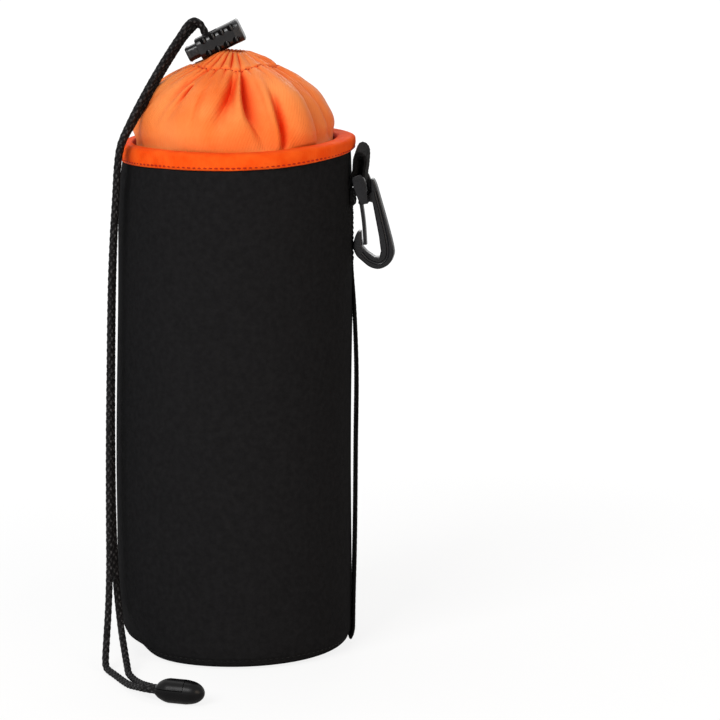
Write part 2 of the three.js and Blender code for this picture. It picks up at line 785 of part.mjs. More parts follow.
const strapSide = new THREE.Group();
strapSide.rotation.z = strapTurn;
group.add(strapSide);
piece('side_seam_tape', sideSeamTape(), tape(), strapSide);
piece('belt_strap', beltStrap(), webbing(), strapSide);

const tabSide = new THREE.Group();
tabSide.rotation.z = tabTurn;
group.add(tabSide);
piece('hook_tab', tabLoop(), webbing(), tabSide);

const hook = new THREE.Group();
hook.position.set(barPlace, 0, barHeight);
hook.rotation.y = -hookTilt;
tabSide.add(hook);
piece('hook_frame', hookFrame(), hookPlastic(), hook);
piece('hook_gate', hookGate(), hookPlastic(), hook);

const lock = new THREE.Group();
lock.position.copy(lockSeat);
lock.rotation.y = -lockTilt;
group.add(lock);
const lockBody = new THREE.Group();
lockBody.position.z = lockLift;
lock.add(lockBody);
piece('cord_lock_barrel', lockBarrel(), lockPlastic(), lockBody);
piece('cord_lock_plunger', lockPlunger(), lockPlastic(), lockBody);
piece('cord_lock_spring', lockSpring(), steel(), lockBody);

const cordEnd = new THREE.Group();
cordEnd.position.copy(cordEndPlace);
cordEnd.rotation.z = cordEndHeading;
group.add(cordEnd);
piece('cord_end_shell', cordEndShell(), glossBlack(), cordEnd);
piece('cord_end_lid', cordEndLid(), glossBlack(), cordEnd);

export default group;
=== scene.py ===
import math

import bmesh
import bpy
import numpy as np
from mathutils import Matrix, Vector


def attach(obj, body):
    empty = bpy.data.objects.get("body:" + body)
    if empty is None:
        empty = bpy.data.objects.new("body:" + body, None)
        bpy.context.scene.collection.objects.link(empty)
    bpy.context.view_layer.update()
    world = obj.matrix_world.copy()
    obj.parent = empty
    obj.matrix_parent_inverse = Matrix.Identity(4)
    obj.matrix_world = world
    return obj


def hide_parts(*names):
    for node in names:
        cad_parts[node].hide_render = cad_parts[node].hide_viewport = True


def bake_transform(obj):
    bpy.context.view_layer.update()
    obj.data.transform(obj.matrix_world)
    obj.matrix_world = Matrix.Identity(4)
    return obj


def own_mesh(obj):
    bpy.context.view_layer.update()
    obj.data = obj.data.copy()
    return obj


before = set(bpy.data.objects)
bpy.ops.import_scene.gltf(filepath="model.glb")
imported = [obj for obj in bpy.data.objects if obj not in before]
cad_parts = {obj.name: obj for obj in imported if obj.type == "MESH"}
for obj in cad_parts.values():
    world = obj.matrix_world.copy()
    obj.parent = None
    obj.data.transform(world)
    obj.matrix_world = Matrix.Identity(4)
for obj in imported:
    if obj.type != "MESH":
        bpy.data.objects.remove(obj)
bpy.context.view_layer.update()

# Shapes are written in millimetres and scaled to metres when a mesh is made.
MM = 0.001
TAU = 2 * math.pi
WHITE = (1, 1, 1, 1)

# Camera: the photograph's viewpoint, a little above the rim and looking down by ten degrees
CAMERA_PLACE = (0.056, -1.55, 0.412)
CAMERA_DROP = math.radians(10.38)
CAMERA_LENS = 177.95
SENSOR = 36

# Pouch, as in the CAD part
BASE_RADIUS = 52
RIM_TAPER = 1
FOAM = 5
SLEEVE_TOP = 224
CORNER = 10
BASE_SEAM = 3
SEAT_GAP = 0.3
CORD_DIAMETER = 3.2
WEBBING_THICKNESS = 1.2
STRAND_PITCH = 3.5
LOCK_SEAT = np.array([-5.7, 0, 261.124])
LOCK_TILT = math.radians(25.9)
LOCK_LIFT = 8.7
TAB_TURN = math.radians(-8)
STRAP_TURN = math.radians(3)
BAR_PLACE = 56.319
BAR_HEIGHT = 209.6
BAR_RADIUS = 1.5
HOOK_TILT = math.radians(11.7)
HOOK_LENGTH = 40
HOOK_REACH = 8.9
MOUTH_OFFSET = 2.3
MOUTH_RADIUS = 8
MOUTH_HEIGHT = 261.124
# The visible lock sits this much lower on its cords than the solid, pressed against the satin
LOCK_DROP = 0.9

# The free strands, from the lock to the cord end
LOCK_RUN = [(-7.3, 264.2), (-8.7, 267.1), (-10.1, 270), (-11.4, 272.7)]
FRONT_ROUTE = [(x, -STRAND_PITCH / 2, z) for x, z in LOCK_RUN] + [
    (-12.3, -1.9, 274.9), (-13.7, -2.3, 277.2), (-16.1, -3, 278.4), (-18.9, -4, 276.6), (-22.2, -5.6, 271.8),
    (-26.6, -8.2, 265.3), (-32.6, -12.4, 255.6), (-38.6, -18.2, 245), (-43.2, -23.5, 236), (-46.9, -27.8, 227.4),
    (-48.4, -29.3, 218), (-49.4, -28.8, 204), (-50.6, -28, 188), (-51.6, -27.6, 170), (-52.3, -27.4, 150),
    (-52.8, -27.6, 128), (-53.3, -28, 106), (-53.6, -28.8, 84), (-53.7, -30.4, 62), (-53.7, -32.8, 42),
    (-54.1, -37, 25), (-54.7, -43.6, 11), (-54.8, -49, 4.6), (-54.2, -53.2, 2.2), (-52.6, -57.4, 1.65),
    (-50.4, -62.4, 1.65), (-47.9, -68.4, 1.7), (-45.6, -74.4, 1.9), (-42.4, -82.6, 2.5), (-38.6, -90.6, 3.8),
    (-34.9, -97.3, 4.9), (-30.17, -101.25, 5.25), (-26.4, -102.56, 5.25), (-22.6, -103.86, 5.25),
]
REAR_ROUTE = [(x, STRAND_PITCH / 2, z) for x, z in LOCK_RUN] + [
    (-12.3, 1.75, 274.6), (-13.3, 1.5, 275.9), (-15, 1, 276.5), (-17.1, 0.2, 274.7), (-20.5, -1.4, 271),
    (-25, -4.2, 264.4), (-30.7, -8.4, 255.2), (-36.5, -14.2, 244.9), (-41.8, -20.2, 236), (-46.4, -24.4, 227.6),
    (-48.3, -25.6, 218.6), (-49.4, -25.2, 205), (-50.4, -24.6, 188), (-51.2, -24.2, 170), (-51.8, -24, 150),
    (-52.2, -24, 128), (-52.5, -24.2, 106), (-52.6, -24.6, 84), (-52.4, -25.6, 62), (-51.7, -27.4, 42),
    (-50.4, -31, 27), (-48.7, -37, 15.5), (-46.7, -46.4, 8), (-45, -56, 3.8), (-43.9, -62.6, 2.1),
    (-42.2, -68, 1.75), (-39.9, -74.6, 1.9), (-37.2, -82, 2.7), (-34.6, -88.6, 3.8), (-32.2, -94.2, 4.8),
    (-29, -97.95, 5.25), (-25.3, -99.23, 5.25), (-21.5, -100.53, 5.25),
]


# Small helpers

def ease(t):
    t = np.clip(t, 0, 1)
    return t * t * (3 - 2 * t)


def linear(*rgb):
    return tuple((v / 255 / 12.92 if v <= 10 else ((v / 255 + 0.055) / 1.055) ** 2.4) for v in rgb) + (1,)


def through(points, fineness):
    """Catmull-Rom curve through points, about `fineness` apart, as an array."""
    p = np.array(points, float)
    p = np.vstack([2 * p[0] - p[1], p, 2 * p[-1] - p[-2]])
    out = []
    for a, b, c, d in zip(p[:-3], p[1:-2], p[2:-1], p[3:]):
        n = max(2, int(np.linalg.norm(c - b) / fineness))
        for t in np.linspace(0, 1, n, endpoint=False):
            out.append(0.5 * (2 * b + (c - a) * t + (2 * a - 5 * b + 4 * c - d) * t ** 2
                              + (3 * b - a - 3 * c + d) * t ** 3))
    out.append(p[-2])
    return np.array(out)


def even(points, step):
    """The same line with its points a fixed step apart."""
    p = np.array(points, float)
    run = np.concatenate([[0], np.cumsum(np.linalg.norm(np.diff(p, axis=0), axis=1))])
    n = max(2, int(round(run[-1] / step)))
    at = np.linspace(0, run[-1], n + 1)
    return np.stack([np.interp(at, run, p[:, i]) for i in range(p.shape[1])], axis=1)


def circle(count):
    """Turns evenly round a circle."""
    return np.arange(count) * TAU / count


def unit(rows):
    return rows / np.linalg.norm(rows, axis=-1)[..., None]


def add_object(name, data):
    obj = bpy.data.objects.new(name, data)
    bpy.context.scene.collection.objects.link(obj)
    return obj


def make(name, verts, faces, finish=None, uvs=None):
    mesh = bpy.data.meshes.new(name)
    mesh.from_pydata((np.asarray(verts, float) * MM).tolist(), [], faces)
    mesh.polygons.foreach_set("use_smooth", [True] * len(mesh.polygons))
    if uvs is not None:
        layer = mesh.uv_layers.new(name="UVMap")
        corners = np.zeros(len(mesh.loops), int)
        mesh.loops.foreach_get("vertex_index", corners)
        layer.data.foreach_set("uv", np.asarray(uvs, float)[corners].ravel())
    if finish is not None:
        mesh.materials.append(finish)
    return add_object(name, mesh)


def piece(obj, replaced, body="pouch", place=None):
    """Hides the CAD node that the piece stands for and sets the piece on the body that it rides on.

    place takes a piece that was made in a frame of its own to where it belongs."""
    if place is not None:
        obj.data.transform(place)
    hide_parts(replaced)
    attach(obj, body)


def grid_faces(rows, cols, close_cols=False, close_rows=False):
    """Quads over a rows x cols lattice of points, counted row by row."""
    faces = []
    for i in range(rows if close_rows else rows - 1):
        k = (i + 1) % rows
        for j in range(cols if close_cols else cols - 1):
            m = (j + 1) % cols
            faces.append((i * cols + j, i * cols + m, k * cols + m, k * cols + j))
    return faces


def outward(obj, weld=0):
    """Turns all faces to point out of a closed body, after joining points closer than weld metres."""
    work = bmesh.new()
    work.from_mesh(obj.data)
    if weld:
        bmesh.ops.remove_doubles(work, verts=work.verts, dist=weld)
    bmesh.ops.recalc_face_normals(work, faces=work.faces)
    work.to_mesh(obj.data)
    work.free()
    return obj


def tube_points(line, turn, radius):
    """Rings of points about a line, whose side and up directions turn as little as possible along it."""
    tangent = unit(np.gradient(line, axis=0))
    side = np.cross((0, 0, 1), tangent[0])
    if np.linalg.norm(side) < 0.1:
        side = np.cross((0, 1, 0), tangent[0])
    sides = []
    for t in tangent:
        side = side - t * np.dot(side, t)
        side = side / np.linalg.norm(side)
        sides.append(side)
    side, up = np.array(sides), np.cross(tangent, sides)
    spokes = side[:, None, :] * np.cos(turn)[..., None] + up[:, None, :] * np.sin(turn)[..., None]
    return (line[:, None, :] + spokes * np.asarray(radius)[..., None]).reshape(-1, 3)


def tube_faces(rows, cols):
    """Faces of a tube of rows rings of cols points each, closed at both ends."""
    ends = [tuple(range(cols))[::-1], tuple((rows - 1) * cols + j for j in range(cols))]
    return grid_faces(rows, cols, True) + ends


def shell_faces(rows, cols, close_cols=False):
    """Faces of two like layers of points, the second after the first, joined along their edges."""
    count, last = rows * cols, cols if close_cols else cols - 1
    layer = grid_faces(rows, cols, close_cols)
    edges = [(row * cols + j, row * cols + (j + 1) % cols) for row in (0, rows - 1) for j in range(last)]
    if not close_cols:
        edges += [(i * cols + j, (i + 1) * cols + j) for i in range(rows - 1) for j in (0, cols - 1)]
    return layer + [tuple(count + k for k in f) for f in layer] + [(a, b, count + b, count + a) for a, b in edges]


def ring_of(radius, turn, height):
    """A level ring of points about the upright axis."""
    return np.stack([radius * np.cos(turn), radius * np.sin(turn), np.full(len(turn), height)], axis=1)


def turned(angle):
    """Rotation about the upright axis."""
    c, n = math.cos(angle), math.sin(angle)
    return np.array([[c, -n, 0], [n, c, 0], [0, 0, 1]])


def braided(name, line):
    """A round cord: four plaits each way, which pass over and under one another, on a tube along line.

    The second texture coordinate is the relief, so that the finish can paint shade into the gaps and highlights onto
    the plaits."""
    step, sides, plaits, pitch = 0.36, 24, 4, 3.5
    p = even(line, step)
    u, v = np.meshgrid(np.arange(len(p)) * step, circle(sides), indexing="ij")
    height = np.zeros_like(u)
    for way in (1, -1):
        own, other = plaits * v + way * TAU * u / pitch, plaits * v - way * TAU * u / pitch
        band = np.round(own / TAU)
        over = way * np.cos(other / 2) * np.where(band % 2 == 0, 1, -1)
        plait = np.sqrt(np.maximum(0, 1 - (wrapped(own) / math.pi) ** 2)) * (0.66 + 0.34 * over)
        height = np.maximum(height, plait)
    verts = tube_points(p, v, CORD_DIAMETER / 2 * (0.68 + 0.33 * height))
    uvs = np.stack([u.ravel() / 10, height.ravel()], axis=1)
    return outward(make(name, verts, tube_faces(len(p), sides), CORD, uvs)), p


def lathe(name, profile, finish, relief=None, segments=144):
    """profile: rows of (radius, height), a closed outline; relief(turn, height, row) adds to the radius."""
    rows = len(profile)
    r, z = (np.repeat(np.array(q, float)[:, None], segments, axis=1) for q in zip(*profile))
    t = np.repeat(circle(segments)[None, :], rows, axis=0)
    if relief is not None:
        r = r + relief(t, z, np.arange(rows)[:, None])
    verts = settle(np.stack([r * np.cos(t), r * np.sin(t), z], axis=-1).reshape(-1, 3))
    uvs = np.stack([(t * BASE_RADIUS).ravel() / 10, z.ravel() / 10], axis=1)
    return outward(make(name, verts, grid_faces(rows, segments, True, True), finish, uvs))


def wrapped(turn):
    """The same turn between minus half a circle and half a circle."""
    return (turn + math.pi) % TAU - math.pi


# Materials

def shader(name, colour, roughness, specular=0.5, metallic=0.0, sheen=0.0, sheen_roughness=0.5, sheen_tint=WHITE,
           specular_tint=WHITE):
    finish = bpy.data.materials.new(name)
    finish.use_nodes = True
    bsdf = finish.node_tree.nodes["Principled BSDF"]
    for socket, value in (
        ("Base Color", colour), ("Roughness", roughness), ("Specular IOR Level", specular),
        ("Specular Tint", specular_tint), ("Metallic", metallic), ("Sheen Weight", sheen),
        ("Sheen Roughness", sheen_roughness), ("Sheen Tint", sheen_tint),
    ):
        bsdf.inputs[socket].default_value = value
    return finish, finish.node_tree


def feed(tree, name, socket):
    """Links a socket to an input of the finish's shader."""
    tree.links.new(socket, tree.nodes["Principled BSDF"].inputs[name])


def node(tree, kind, **settings):
    """A new node. A setting is one of its inputs, as a value or a socket to link from, or one of its own fields."""
    made = tree.nodes.new(kind)
    for key, value in settings.items():
        if key not in made.inputs:
            setattr(made, key, value)
        elif isinstance(value, bpy.types.NodeSocket):
            tree.links.new(value, made.inputs[key])
        else:
            made.inputs[key].default_value = value
    return made


def coordinates(tree, kind="Object", turn=0.0):
    source = node(tree, "ShaderNodeTexCoord").outputs[kind]
    return node(tree, "ShaderNodeMapping", Vector=source, Rotation=(0, 0, turn)).outputs["Vector"]


def noise(tree, place, scale, detail):
    return node(tree, "ShaderNodeTexNoise", Vector=place, Scale=scale, Detail=detail).outputs["Fac"]


def wave(tree, place, scale, distortion, direction="DIAGONAL"):
    return node(tree, "ShaderNodeTexWave", Vector=place, Scale=scale, Distortion=distortion,
                bands_direction=direction).outputs["Fac"]


def ramp(tree, value, low, high, to_low=0.0, to_high=1.0):
    return node(tree, "ShaderNodeMapRange", **{
        "Value": value, "From Min": low, "From Max": high, "To Min": to_low, "To Max": to_high}).outputs["Result"]


def math_node(tree, a, b, operation="MULTIPLY"):
    made = node(tree, "ShaderNodeMath", operation=operation)
    tree.links.new(a, made.inputs[0])
    tree.links.new(b, made.inputs[1])
    return made.outputs[0]


def tint(tree, share, colour, other):
    """Base colour between two tones, which may be sockets."""
    mixed = node(tree, "ShaderNodeMix", data_type="RGBA", A=colour, B=other, Factor=share).outputs["Result"]
    feed(tree, "Base Color", mixed)
    return mixed


def mottle(tree, colour, other, place, scale, low=0.35, high=0.65, detail=4.0):
    """Base colour that drifts between two tones."""
    return tint(tree, ramp(tree, noise(tree, place, scale, detail), low, high), colour, other)


def rough_drift(tree, place, base, swing, scale):
    drift = ramp(tree, noise(tree, place, scale, 3.0), 0.0, 1.0, base - swing, base + swing)
    feed(tree, "Roughness", drift)


def bump(tree, height, strength, distance, **before):
    """Relief by shading. Normal is an earlier bump that it adds to."""
    normal = node(tree, "ShaderNodeBump", Height=height, Strength=strength, Distance=distance, **before).outputs[0]
    feed(tree, "Normal", normal)
    return normal


def weave(tree, across, along, strength, distance, turn=0.0, **before):
    """A plain weave in relief: two sets of bands at right angles."""
    place = coordinates(tree, "UV", turn)
    height = math_node(tree, wave(tree, place, across, 0.35, "X"), wave(tree, place, along, 0.35, "Y"), "ADD")
    bump(tree, height, strength, distance, **before)


def paint_shade_in_hollows(tree, tone, deep, distance, low, high, own=False):
    """Painted shade in hollows: mixes the base towards a deeper tone where ambient occlusion finds a hollow, in place
    of shade and light bounced inside it.
    """
    hollow = node(tree, "ShaderNodeAmbientOcclusion", Distance=distance, samples=8, only_local=own)
    tint(tree, ramp(tree, hollow.outputs["AO"], low, high), deep, tone)


def neoprene_finish():
    finish, tree = shader("neoprene_knit", linear(27, 25, 25), 0.95, 0.02)
    solid = coordinates(tree)
    mottle(tree, linear(24, 24, 25), linear(30, 30, 31), solid, 420.0, 0.3, 0.7, 6.0)
    rough_drift(tree, solid, 0.93, 0.04, 30.0)
    grain = bump(tree, noise(tree, solid, 1500.0, 2.0), 0.5, 0.00025)
    weave(tree, 7.5, 5.5, 0.35, 0.0001, Normal=grain)
    return finish


def tape_finish():
    finish, tree = shader("seam_tape_weave", linear(24, 24, 25), 0.88, 0.25)
    mottle(tree, linear(20, 20, 21), linear(32, 32, 33), coordinates(tree), 300.0)
    weave(tree, 5.0, 9.0, 0.5, 0.00015)
    return finish


def satin_finish():
    finish, tree = shader("satin_weave", linear(252, 138, 62), 0.5, 0.22, sheen=0.02, sheen_roughness=0.35,
                          sheen_tint=linear(255, 205, 165), specular_tint=linear(255, 210, 165))
    solid = coordinates(tree)
    tone = mottle(tree, linear(249, 118, 48), linear(254, 149, 80), solid, 46.0, 0.3, 0.7)
    # Painted shade: the satin's folds and creases turn a deeper red-orange where occlusion finds them.
    paint_shade_in_hollows(tree, tone, linear(232, 50, 8), 0.01, 0.36, 0.96, own=True)
    rough_drift(tree, solid, 0.5, 0.07, 120.0)
    creases = bump(tree, noise(tree, solid, 160.0, 4.0), 0.3, 0.0011)
    weave(tree, 2.6, 6.0, 0.45, 0.0002, math.radians(24), Normal=creases)
    return finish


def binding_finish():
    finish, tree = shader("binding_tape", linear(244, 80, 16), 0.7, 0.15, sheen=0.04, sheen_roughness=0.4,
                          sheen_tint=linear(255, 170, 110), specular_tint=linear(255, 180, 110))
    tone = mottle(tree, linear(242, 76, 14), linear(249, 94, 26), coordinates(tree), 140.0)
    # Painted shade: hollows of the binding, such as under the dome's edge, turn a dark red.
    paint_shade_in_hollows(tree, tone, linear(150, 24, 4), 0.004, 0.25, 0.75)
    weave(tree, 9.0, 12.0, 0.3, 0.00012)
    return finish


def thread_finish(name, colour):
    finish, tree = shader(name, colour, 0.6, 0.15, sheen=0.03)
    place = coordinates(tree)
    other = tuple(min(1.0, c * 1.5) for c in colour[:3]) + (1,)
    mottle(tree, colour, other, place, 900.0)
    bump(tree, wave(tree, place, 700.0, 1.0), 0.5, 0.00008)
    return finish


def cord_finish():
    """Painted shade between the plaits, with painted highlights in specks where they stand proud."""
    finish, tree = shader("cord_braid", linear(20, 19, 20), 0.6, 0.12)
    place = coordinates(tree, "UV")
    relief = node(tree, "ShaderNodeSeparateXYZ", Vector=place).outputs["Y"]
    painted_light_share = math_node(tree, relief, noise(tree, coordinates(tree), 1100.0, 3.0))
    # Painted shade in the gaps and painted highlights on the plaits' tops, following the relief.
    tint(tree, ramp(tree, painted_light_share, 0.36, 0.66), linear(5, 4, 5), linear(78, 77, 78))
    bump(tree, wave(tree, place, 22.0, 2.0), 0.4, 0.00012)
    return finish


def webbing_finish():
    finish, tree = shader("webbing_weave", linear(14, 14, 14), 0.75, 0.06, sheen=0.02, sheen_roughness=0.45)
    mottle(tree, linear(9, 9, 9), linear(27, 26, 27), coordinates(tree, "UV"), 8.0, 0.4, 0.7, 6.0)
    weave(tree, 6.0, 9.0, 0.7, 0.0002)
    return finish


def plastic_finish(name, colour, other, roughness, specular, grain=900.0, strength=0.12):
    finish, tree = shader(name, colour, roughness, specular)
    place = coordinates(tree)
    mottle(tree, colour, other, place, 220.0, 0.35, 0.7, 6.0)
    rough_drift(tree, place, roughness, 0.06, 260.0)
    bump(tree, noise(tree, place, grain, 3.0), strength, 0.00012)
    return finish


def steel_finish():
    finish, tree = shader("spring_steel", linear(190, 192, 196), 0.32, metallic=1.0)
    place = coordinates(tree)
    mottle(tree, linear(176, 178, 182), linear(204, 206, 210), place, 500.0)
    rough_drift(tree, place, 0.32, 0.08, 700.0)
    return finish


NEOPRENE = neoprene_finish()
TAPE = tape_finish()
SATIN = satin_finish()
BINDING = binding_finish()
ORANGE_THREAD = thread_finish("orange_thread", linear(158, 26, 6))
BLACK_THREAD = thread_finish("black_thread", linear(9, 9, 9))
CORD = cord_finish()
WEBBING = webbing_finish()
# Painted shade: darker, duller plastic for the lock's pockets.
LOCK_PAINTED_SHADE = plastic_finish("lock_recess_painted_shade", linear(5, 5, 5), linear(9, 8, 9), 0.5, 0.04)
LOCK_PLASTIC = plastic_finish("lock_plastic", linear(10, 9, 10), linear(20, 18, 21), 0.25, 0.45)
HOOK_PLASTIC = plastic_finish("hook_plastic", linear(10, 10, 12), linear(20, 20, 24), 0.27, 0.28)
CORD_END_PLASTIC = plastic_finish("cord_end_plastic", linear(6, 6, 7), linear(11, 11, 12), 0.3, 0.15, 300.0, 0.05)
STEEL = steel_finish()


# Camera

def add_camera():
    data = bpy.data.cameras.new("camera")
    data.sensor_width = SENSOR
    data.lens = CAMERA_LENS
    data.clip_end = 50
    camera = add_object("camera", data)
    camera.location = CAMERA_PLACE
    camera.rotation_euler = (math.pi / 2 - CAMERA_DROP, 0, 0)
    bpy.context.scene.camera = camera


# Cords

def add_cords():
    up = np.array([-math.sin(LOCK_TILT), 0, math.cos(LOCK_TILT)])
    for name, route in (("front", FRONT_ROUTE), ("rear", REAR_ROUTE)):
        obj, p = braided(f"drawcord_{name}", through(route, 0.5))
        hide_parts(f"drawcord_strand_{name}")
        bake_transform(obj)
    start = math.asin((STRAND_PITCH / 2 + CORD_DIAMETER * 0.62) / MOUTH_RADIUS)
    turn = np.linspace(math.pi + start, 3 * math.pi - start, 40)
    ring = ring_of(MOUTH_RADIUS, turn, MOUTH_HEIGHT) + np.array([MOUTH_OFFSET, 0, 0])
    stub = [LOCK_SEAT + np.array([0, s * STRAND_PITCH / 2, 0]) + up * h
            for s, h in ((-1, 3.2), (-1, 1.6), (1, 1.6), (1, 3.2))]
    line = through([stub[0], stub[1], *ring[::3], ring[-1], stub[2], stub[3]], 0.5)
    piece(braided("drawcord_run", line)[0], "drawcord_loop")


# Soft tube: sleeve, base, tapes and binding

def rim_lift(x):
    """The rim's edge isn't level: it dips a little at the left and rises at the right."""
    return np.interp(x, (-52, -32, 0, 20, 40, 54), (-1.1, -0.3, -0.2, 0.4, 1.8, 2.7))


def settle(verts):
    """The soft pouch as it stands: rim pressed oval and pulled to the right, lower left corner slumped."""
    v = np.array(verts, float)
    x, y, z = v.T
    turn, r = np.arctan2(y, x), np.hypot(x, y)
    outer = np.clip((r - 45) / 7, 0, 1)
    wide = np.interp(z, (0, 60, 124, 190, 205, 220, 227), (1, 1.002, 1.006, 1.01, 1.004, 0.976, 0.97))
    wide = wide + (1 - outer) * np.interp(z, (190, 226), (0, 0.015))
    deep = np.interp(z, (120, 190, 226), (1, 1.004, 1.018))
    shift = np.interp(z, (0, 80, 124, 190, 208, 220, 227), (0, 0.1, 0.37, 1.03, 1.5, 2.3, 2.75))
    shift = shift - (1 - outer) * np.interp(z, (190, 226), (0, 1.5))
    high = ease((z - 150) / 70)
    band = np.interp(x, (-52, 0, 30, 52), (0.35, 0, -0.1, -0.6))
    band = band * np.clip((z - 222.9) / 3.5, -1, 1) * ease((z - 217) / 2)
    slump = 6.6 * np.exp(-(wrapped(turn - math.radians(201)) / 0.4) ** 2) * ease((26 - z) / 26) ** 1.1
    pull = 1 - slump * ease((r - 15) / 30) / np.maximum(r, 1)
    return np.stack([x * wide * pull + shift, y * deep * pull, z + rim_lift(x) * high + band], axis=1)


def sleeve_radius(z):
    return BASE_RADIUS - RIM_TAPER * (z - CORNER) / (SLEEVE_TOP - CORNER)


def corner_arc(radius, low, high, steps, square=1.0):
    """The turn from wall to base. square below 1 fills the corner out, as packed foam does."""
    centre = BASE_RADIUS - CORNER
    out = []
    for a in np.linspace(low, high, steps):
        c, n = math.cos(a), math.sin(a)
        out.append((centre + radius * abs(c) ** square, CORNER + radius * math.copysign(abs(n) ** square, n)))
    return out


SQUARE = 0.72
SEAM_TURN = -math.asin(((CORNER - BASE_SEAM) / CORNER) ** (1 / SQUARE))


def soft_waves(turn, z):
    """Slow swells of foam that was sewn by hand."""
    high = ease((z - 12) / 30) * ease((216 - z) / 25)
    swell = 0.32 * np.sin(2 * turn + 0.9 + z / 70) + 0.2 * np.sin(3 * turn - z / 37)
    swell = swell + 0.14 * np.sin(5 * turn + z / 21)
    return swell * high


def add_sleeve():
    outer = corner_arc(CORNER, SEAM_TURN, 0, 14, SQUARE)
    outer += [(sleeve_radius(z), z) for z in np.linspace(12, SLEEVE_TOP, 90)]
    inner = [(sleeve_radius(z) - FOAM, z) for z in np.linspace(SLEEVE_TOP, 12, 40)]
    inner += corner_arc(CORNER - FOAM, 0, -math.asin((CORNER - BASE_SEAM) / CORNER), 6)
    count = len(outer)

    def relief(turn, z, row):
        seam = np.exp(-((z - 4.2) / 0.8) ** 2)
        pucker = 0.22 * np.exp(-((z - 5.6) / 1.6) ** 2) * np.cos(74 * turn) * (0.6 + 0.4 * np.sin(5 * turn + 1))
        return np.where(row < count, soft_waves(turn, z) - 0.45 * seam + pucker, 0.3 * np.sin(2 * turn))

    obj = lathe("sleeve_foam", outer + inner, NEOPRENE, relief, 288)
    piece(obj, "sleeve")


def add_base():
    profile = [(0.01, 0), (10, 0), (20, 0), (32, 0)]
    profile += corner_arc(CORNER, -math.pi / 2, SEAM_TURN, 12, SQUARE)
    profile += [(44.2, BASE_SEAM - 0.15), (44.2, FOAM - 0.4), (43.4, FOAM), (30, FOAM), (15, FOAM), (0.01, FOAM)]
    obj = lathe("base_foam", profile, NEOPRENE)
    piece(obj, "base_disc")


def add_tapes():
    outer = CORNER - FOAM - SEAT_GAP
    inner = outer - 1
    profile = [(40.2, FOAM + 0.3), (44.2, FOAM + 0.3)]
    profile += corner_arc(outer, -math.pi / 3, 0, 6)
    profile += [(sleeve_radius(14) - FOAM - 0.3, 14), (sleeve_radius(14) - FOAM - 1.3, 14)]
    profile += corner_arc(inner, 0, -math.pi / 3, 6)
    profile += [(40.2, FOAM + 1.3)]
    piece(lathe("base_tape", profile, TAPE), "base_seam_tape")
    rows, cols = 120, 9
    half = 7 / 45
    verts = []
    for face in (0, 1):
        for height in np.linspace(14.3, 207.7, rows):
            for t in np.linspace(-half, half, cols):
                r = sleeve_radius(height) - FOAM - SEAT_GAP - face * (1 - 0.5 * abs(t / half) ** 6)
                verts.append((r * math.cos(t + STRAP_TURN), r * math.sin(t + STRAP_TURN), height))
    verts = np.array(verts)
    obj = make("side_tape", settle(verts), shell_faces(rows, cols), TAPE, verts[:, 1:] / 10)
    piece(outward(obj), "side_seam_tape")


BINDING_OUTER = 52.4
BINDING_INNER = 44.6
BINDING_LOW = 219.4
BINDING_TOP = 226.4
# Length and thickness of one stitch
RIM_STITCH = 1.9, 0.6
BASE_STITCH = 1.7, 0.45
COLLAR_STITCH = 1.15, 0.42
WEBBING_STITCH = 1.6, 0.42


def add_binding():
    crown = BINDING_TOP - 2.1
    mid = (BINDING_LOW + crown) / 2
    profile = [(51.3, BINDING_LOW), (51.9, BINDING_LOW - 0.1), (BINDING_OUTER - 0.1, BINDING_LOW + 0.35)]
    profile += [(BINDING_OUTER + 0.1, BINDING_LOW + 0.8), (BINDING_OUTER + 0.35, mid - 0.5),
                (BINDING_OUTER + 0.45, mid + 0.5)]
    profile += [(50.3 + 2.4 * math.cos(a), crown + 2.1 * math.sin(a)) for a in np.linspace(0.1, math.pi / 2, 7)]
    profile += [(46.7 + 2.1 * math.cos(a), crown + 2.1 * math.sin(a)) for a in np.linspace(math.pi / 2, math.pi, 7)]
    profile += [(BINDING_INNER, mid), (BINDING_INNER, BINDING_LOW), (45.7, BINDING_LOW),
                (45.7, SLEEVE_TOP + 0.3), (51.3, SLEEVE_TOP + 0.3)]
    ribs = 300

    def relief(turn, z, row):
        outside = (row >= 3) & (row <= 11)
        rib = 0.11 * np.cos(ribs * turn) * outside * (0.55 + 0.45 * np.sin(3 * turn + 2.2))
        swell = 0.16 * np.sin(9 * turn + 0.5) + 0.1 * np.sin(17 * turn)
        return rib + np.where((row > 2) & (row < 18), swell, 0)

    piece(lathe("rim_tape", profile, BINDING, relief, ribs * 4), "rim_binding")


def stitch_run(name, places, directions, stitch, finish, slot):
    """Short sewn threads: each a small capsule that dives at both ends."""
    length, thickness = stitch
    sides, rings = 6, 6
    verts, faces = [], []
    for place, (along, out) in zip(places, directions):
        along = along / np.linalg.norm(along)
        out = out - along * np.dot(out, along)
        out = out / np.linalg.norm(out)
        across = np.cross(along, out)
        first = len(verts)
        for i in range(rings):
            s = i / (rings - 1) * 2 - 1
            r = thickness / 2 * math.sqrt(max(0.08, 1 - s ** 4))
            centre = place + along * s * length / 2 + out * (0.25 * thickness - 0.6 * thickness * s * s)
            for j in range(sides):
                a = TAU * j / sides
                verts.append(centre + (out * math.cos(a) + across * math.sin(a)) * r)
        faces += [tuple(first + k for k in f) for f in tube_faces(rings, sides)]
    obj = outward(make(name, np.array(verts), faces, finish))
    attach(obj, "pouch")


def round_stitches(name, count, radius, height, lean, *look):
    """Stitches round the pouch on a face that leans out of the upright by lean."""
    turn = circle(count)
    out = ring_of(math.cos(lean), turn, math.sin(lean))
    along = ring_of(1, turn + math.pi / 2, 0)
    stitch_run(name, settle(ring_of(radius, turn, height)), zip(along, out), *look)


